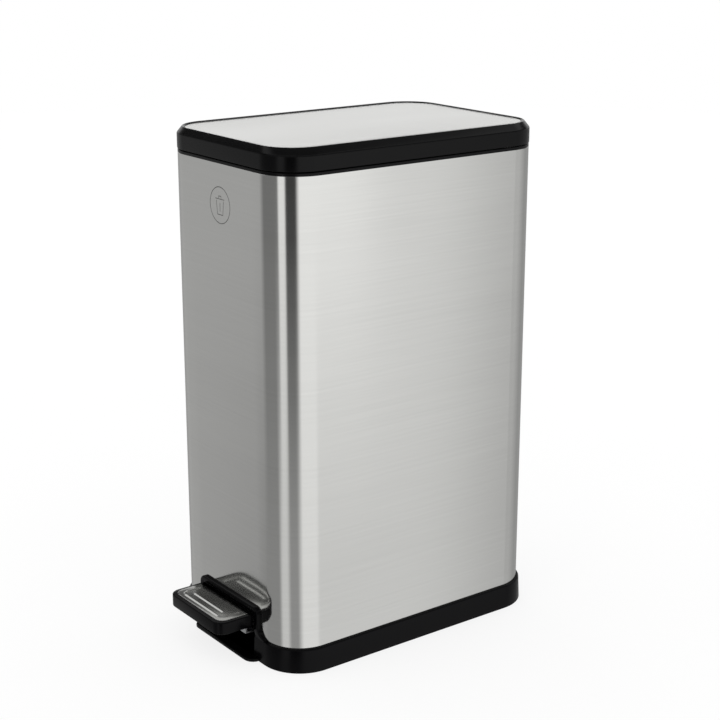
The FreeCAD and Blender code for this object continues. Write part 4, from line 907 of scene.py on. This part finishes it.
# A lamp overhead between flags, as (upward part of the direction, level)
OVERHEAD = ((0.0, 0.1), (0.5, 0.1), (0.55, 1.0), (0.7, 1.0), (0.75, 0.2), (1.0, 0.35))

# Upward part of the direction over which each ring of panels gives way to the next
HIGH_TO_LOW, PANELS_TO_SKY, SKY_TO_OVERHEAD = (-0.2, -0.4), (0.0, 0.1), (0.25, 0.35)

FLOOR_SIDES = 64
CAMERA_LENS = 80.08
CAMERA_PLACE = (1.601, -1.185, 0.937)
CAMERA_TURN = (73.35, 0, 53.31)     # degrees


def panel_stops(panels):
    """Ramp stops for panels round the studio, meeting at their mean level behind it."""
    behind = (panels[0][2] + panels[-1][2]) / 2
    edges = [(azimuth / 360 + 0.5, level)
             for first, last, level in panels for azimuth in (first, last)]
    return [(0.0, behind), *edges, (1.0, behind)]


def ramp(tree, along, stops):
    """The colour of a ramp of greys through (position, level) stops."""
    node = tree.nodes.new("ShaderNodeValToRGB")
    tree.links.new(along, node.inputs[0])
    elements = node.color_ramp.elements
    for position, level in stops[1:-1]:
        elements.new(position).color = (level, level, level, 1)
    for element, (position, level) in ((elements[0], stops[0]), (elements[-1], stops[-1])):
        element.position, element.color = position, (level, level, level, 1)
    return node.outputs[0]


def share_between(tree, value, start, end):
    """How far a value has gone from start to end, kept between 0 and 1."""
    node = tree.nodes.new("ShaderNodeMapRange")
    node.inputs["From Min"].default_value = start
    node.inputs["From Max"].default_value = end
    tree.links.new(value, node.inputs["Value"])
    return node.outputs["Result"]


def calculate(tree, operation, *values):
    """A Math node on sockets and plain numbers."""
    node = tree.nodes.new("ShaderNodeMath")
    node.operation = operation
    for slot, value in enumerate(values):
        if isinstance(value, (int, float)):
            node.inputs[slot].default_value = value
        else:
            tree.links.new(value, node.inputs[slot])
    return node.outputs[0]


def blend_colours(tree, share, first, second):
    """A mix of two colours by a share, each of them a socket or a plain value."""
    node = tree.nodes.new("ShaderNodeMix")
    node.data_type = "RGBA"
    for slot, value in ((0, share), (6, first), (7, second)):
        if isinstance(value, (int, float, tuple)):
            node.inputs[slot].default_value = value
        else:
            tree.links.new(value, node.inputs[slot])
    return node.outputs[2]


def studio_world(scene):
    """Even white light for matt surfaces; mirrors see panels and flags by azimuth and height."""
    world = bpy.data.worlds.new("studio")
    scene.world = world
    world.use_nodes = True
    tree = world.node_tree
    background = tree.nodes["Background"]
    way = tree.nodes.new("ShaderNodeTexCoord")
    parts = tree.nodes.new("ShaderNodeSeparateXYZ")
    tree.links.new(way.outputs["Generated"], parts.inputs[0])
    x, y, z = parts.outputs
    turn = calculate(tree, "MULTIPLY_ADD", calculate(tree, "ARCTAN2", y, x), 0.5 / math.pi, 0.5)
    high, low, sky = (ramp(tree, turn, panel_stops(panels))
                      for panels in (HIGH_PANELS, LOW_PANELS, SKY_PANELS))
    overhead = ramp(tree, z, OVERHEAD)
    panels = blend_colours(tree, share_between(tree, z, *HIGH_TO_LOW), high, low)
    above = blend_colours(tree, share_between(tree, z, *SKY_TO_OVERHEAD), sky, overhead)
    seen = blend_colours(tree, share_between(tree, z, *PANELS_TO_SKY), panels, above)
    rays = tree.nodes.new("ShaderNodeLightPath")
    even = calculate(tree, "MAXIMUM", rays.outputs["Is Camera Ray"], rays.outputs["Is Diffuse Ray"])
    tree.links.new(blend_colours(tree, even, seen, (1, 1, 1, 1)), background.inputs["Color"])
    background.inputs["Strength"].default_value = 1.0


def floor_finish():
    """Pale matt floor, partly lit from within so that its shadows stay faint."""
    material = bpy.data.materials.new("studio_floor")
    material.use_nodes = True
    tree = material.node_tree
    shader = tree.nodes["Principled BSDF"]
    where = tree.nodes.new("ShaderNodeTexCoord")
    tone = noise(tree, where.outputs["Object"], 3, 2)
    tree.links.new(blend_colours(tree, tone, (0.22, 0.22, 0.22, 1), (0.23, 0.23, 0.23, 1)),
                   shader.inputs["Base Color"])
    shader.inputs["Roughness"].default_value = 1.0
    shader.inputs["Specular IOR Level"].default_value = 0.0
    shader.inputs["Emission Color"].default_value = (1, 1, 1, 1)
    shader.inputs["Emission Strength"].default_value = 0.79
    return material


class CANS_OT_studio(bpy.types.Operator):
    """Pale floor, soft surrounding light and the camera"""

    bl_idname = "cans.studio"
    bl_label = "Studio"

    def execute(self, context):
        scene = context.scene
        scene.view_settings.view_transform = "Standard"
        studio_world(scene)
        a = np.arange(FLOOR_SIDES) * 2 * math.pi / FLOOR_SIDES
        ring = np.stack([np.cos(a), np.sin(a), np.zeros(FLOOR_SIDES)], 1)
        reach = np.array([0.5, 1.5, 5.0])
        points = (ring[None] * reach[:, None, None]).reshape(-1, 3)
        mesh = bpy.data.meshes.new("studio_floor")
        here = np.arange(FLOOR_SIDES)
        beside = (here + 1) % FLOOR_SIDES
        band = np.stack([here + FLOOR_SIDES, beside + FLOOR_SIDES, beside, here], 1)
        faces = [list(range(FLOOR_SIDES))] + band.tolist() + (band + FLOOR_SIDES).tolist()
        mesh.from_pydata(points.tolist(), [], faces)
        mesh.materials.append(floor_finish())
        floor = bpy.data.objects.new("studio_floor", mesh)
        scene.collection.objects.link(floor)
        floor.visible_glossy = False
        lens = bpy.data.cameras.new("camera")
        lens.lens, lens.sensor_width = CAMERA_LENS, 36.0
        camera = bpy.data.objects.new("camera", lens)
        camera.location = CAMERA_PLACE
        camera.rotation_euler = [math.radians(angle) for angle in CAMERA_TURN]
        scene.collection.objects.link(camera)
        scene.camera = camera
        return {"FINISHED"}


class CANS_PT_panel(bpy.types.Panel):
    """Lists the steps that build the can"""

    bl_idname = "CANS_PT_panel"
    bl_label = "Trash Can"
    bl_space_type = "VIEW_3D"
    bl_region_type = "UI"
    bl_category = "Trash Can"

    def draw(self, context):
        for owner in (context.scene.can_sizes, context.scene.can_finishes):
            box = self.layout.box()
            for name in owner.__annotations__:
                box.prop(owner, name)
        for step in STEPS:
            self.layout.operator(step.bl_idname)


STEPS = (CANS_OT_studio, CANS_OT_base, CANS_OT_shell, CANS_OT_collar, CANS_OT_lid, CANS_OT_bucket,
         CANS_OT_pedal, CANS_OT_linkage)
CLASSES = (CanSizes, CanFinishes, *STEPS, CANS_PT_panel)


def register():
    """Adds the classes and the scene's settings."""
    for item in CLASSES:
        bpy.utils.register_class(item)
    bpy.types.Scene.can_sizes = bpy.props.PointerProperty(type=CanSizes)
    bpy.types.Scene.can_finishes = bpy.props.PointerProperty(type=CanFinishes)


def unregister():
    """Takes them away again."""
    del bpy.types.Scene.can_finishes
    del bpy.types.Scene.can_sizes
    for item in reversed(CLASSES):
        bpy.utils.unregister_class(item)


def main():
    """Builds every piece in order."""
    register()
    bpy.ops.cans.studio()
    bpy.ops.cans.base()
    bpy.ops.cans.shell()
    bpy.ops.cans.collar()
    bpy.ops.cans.lid()
    bpy.ops.cans.bucket()
    bpy.ops.cans.pedal()
    bpy.ops.cans.linkage()


if __name__ == "__main__":
    main()
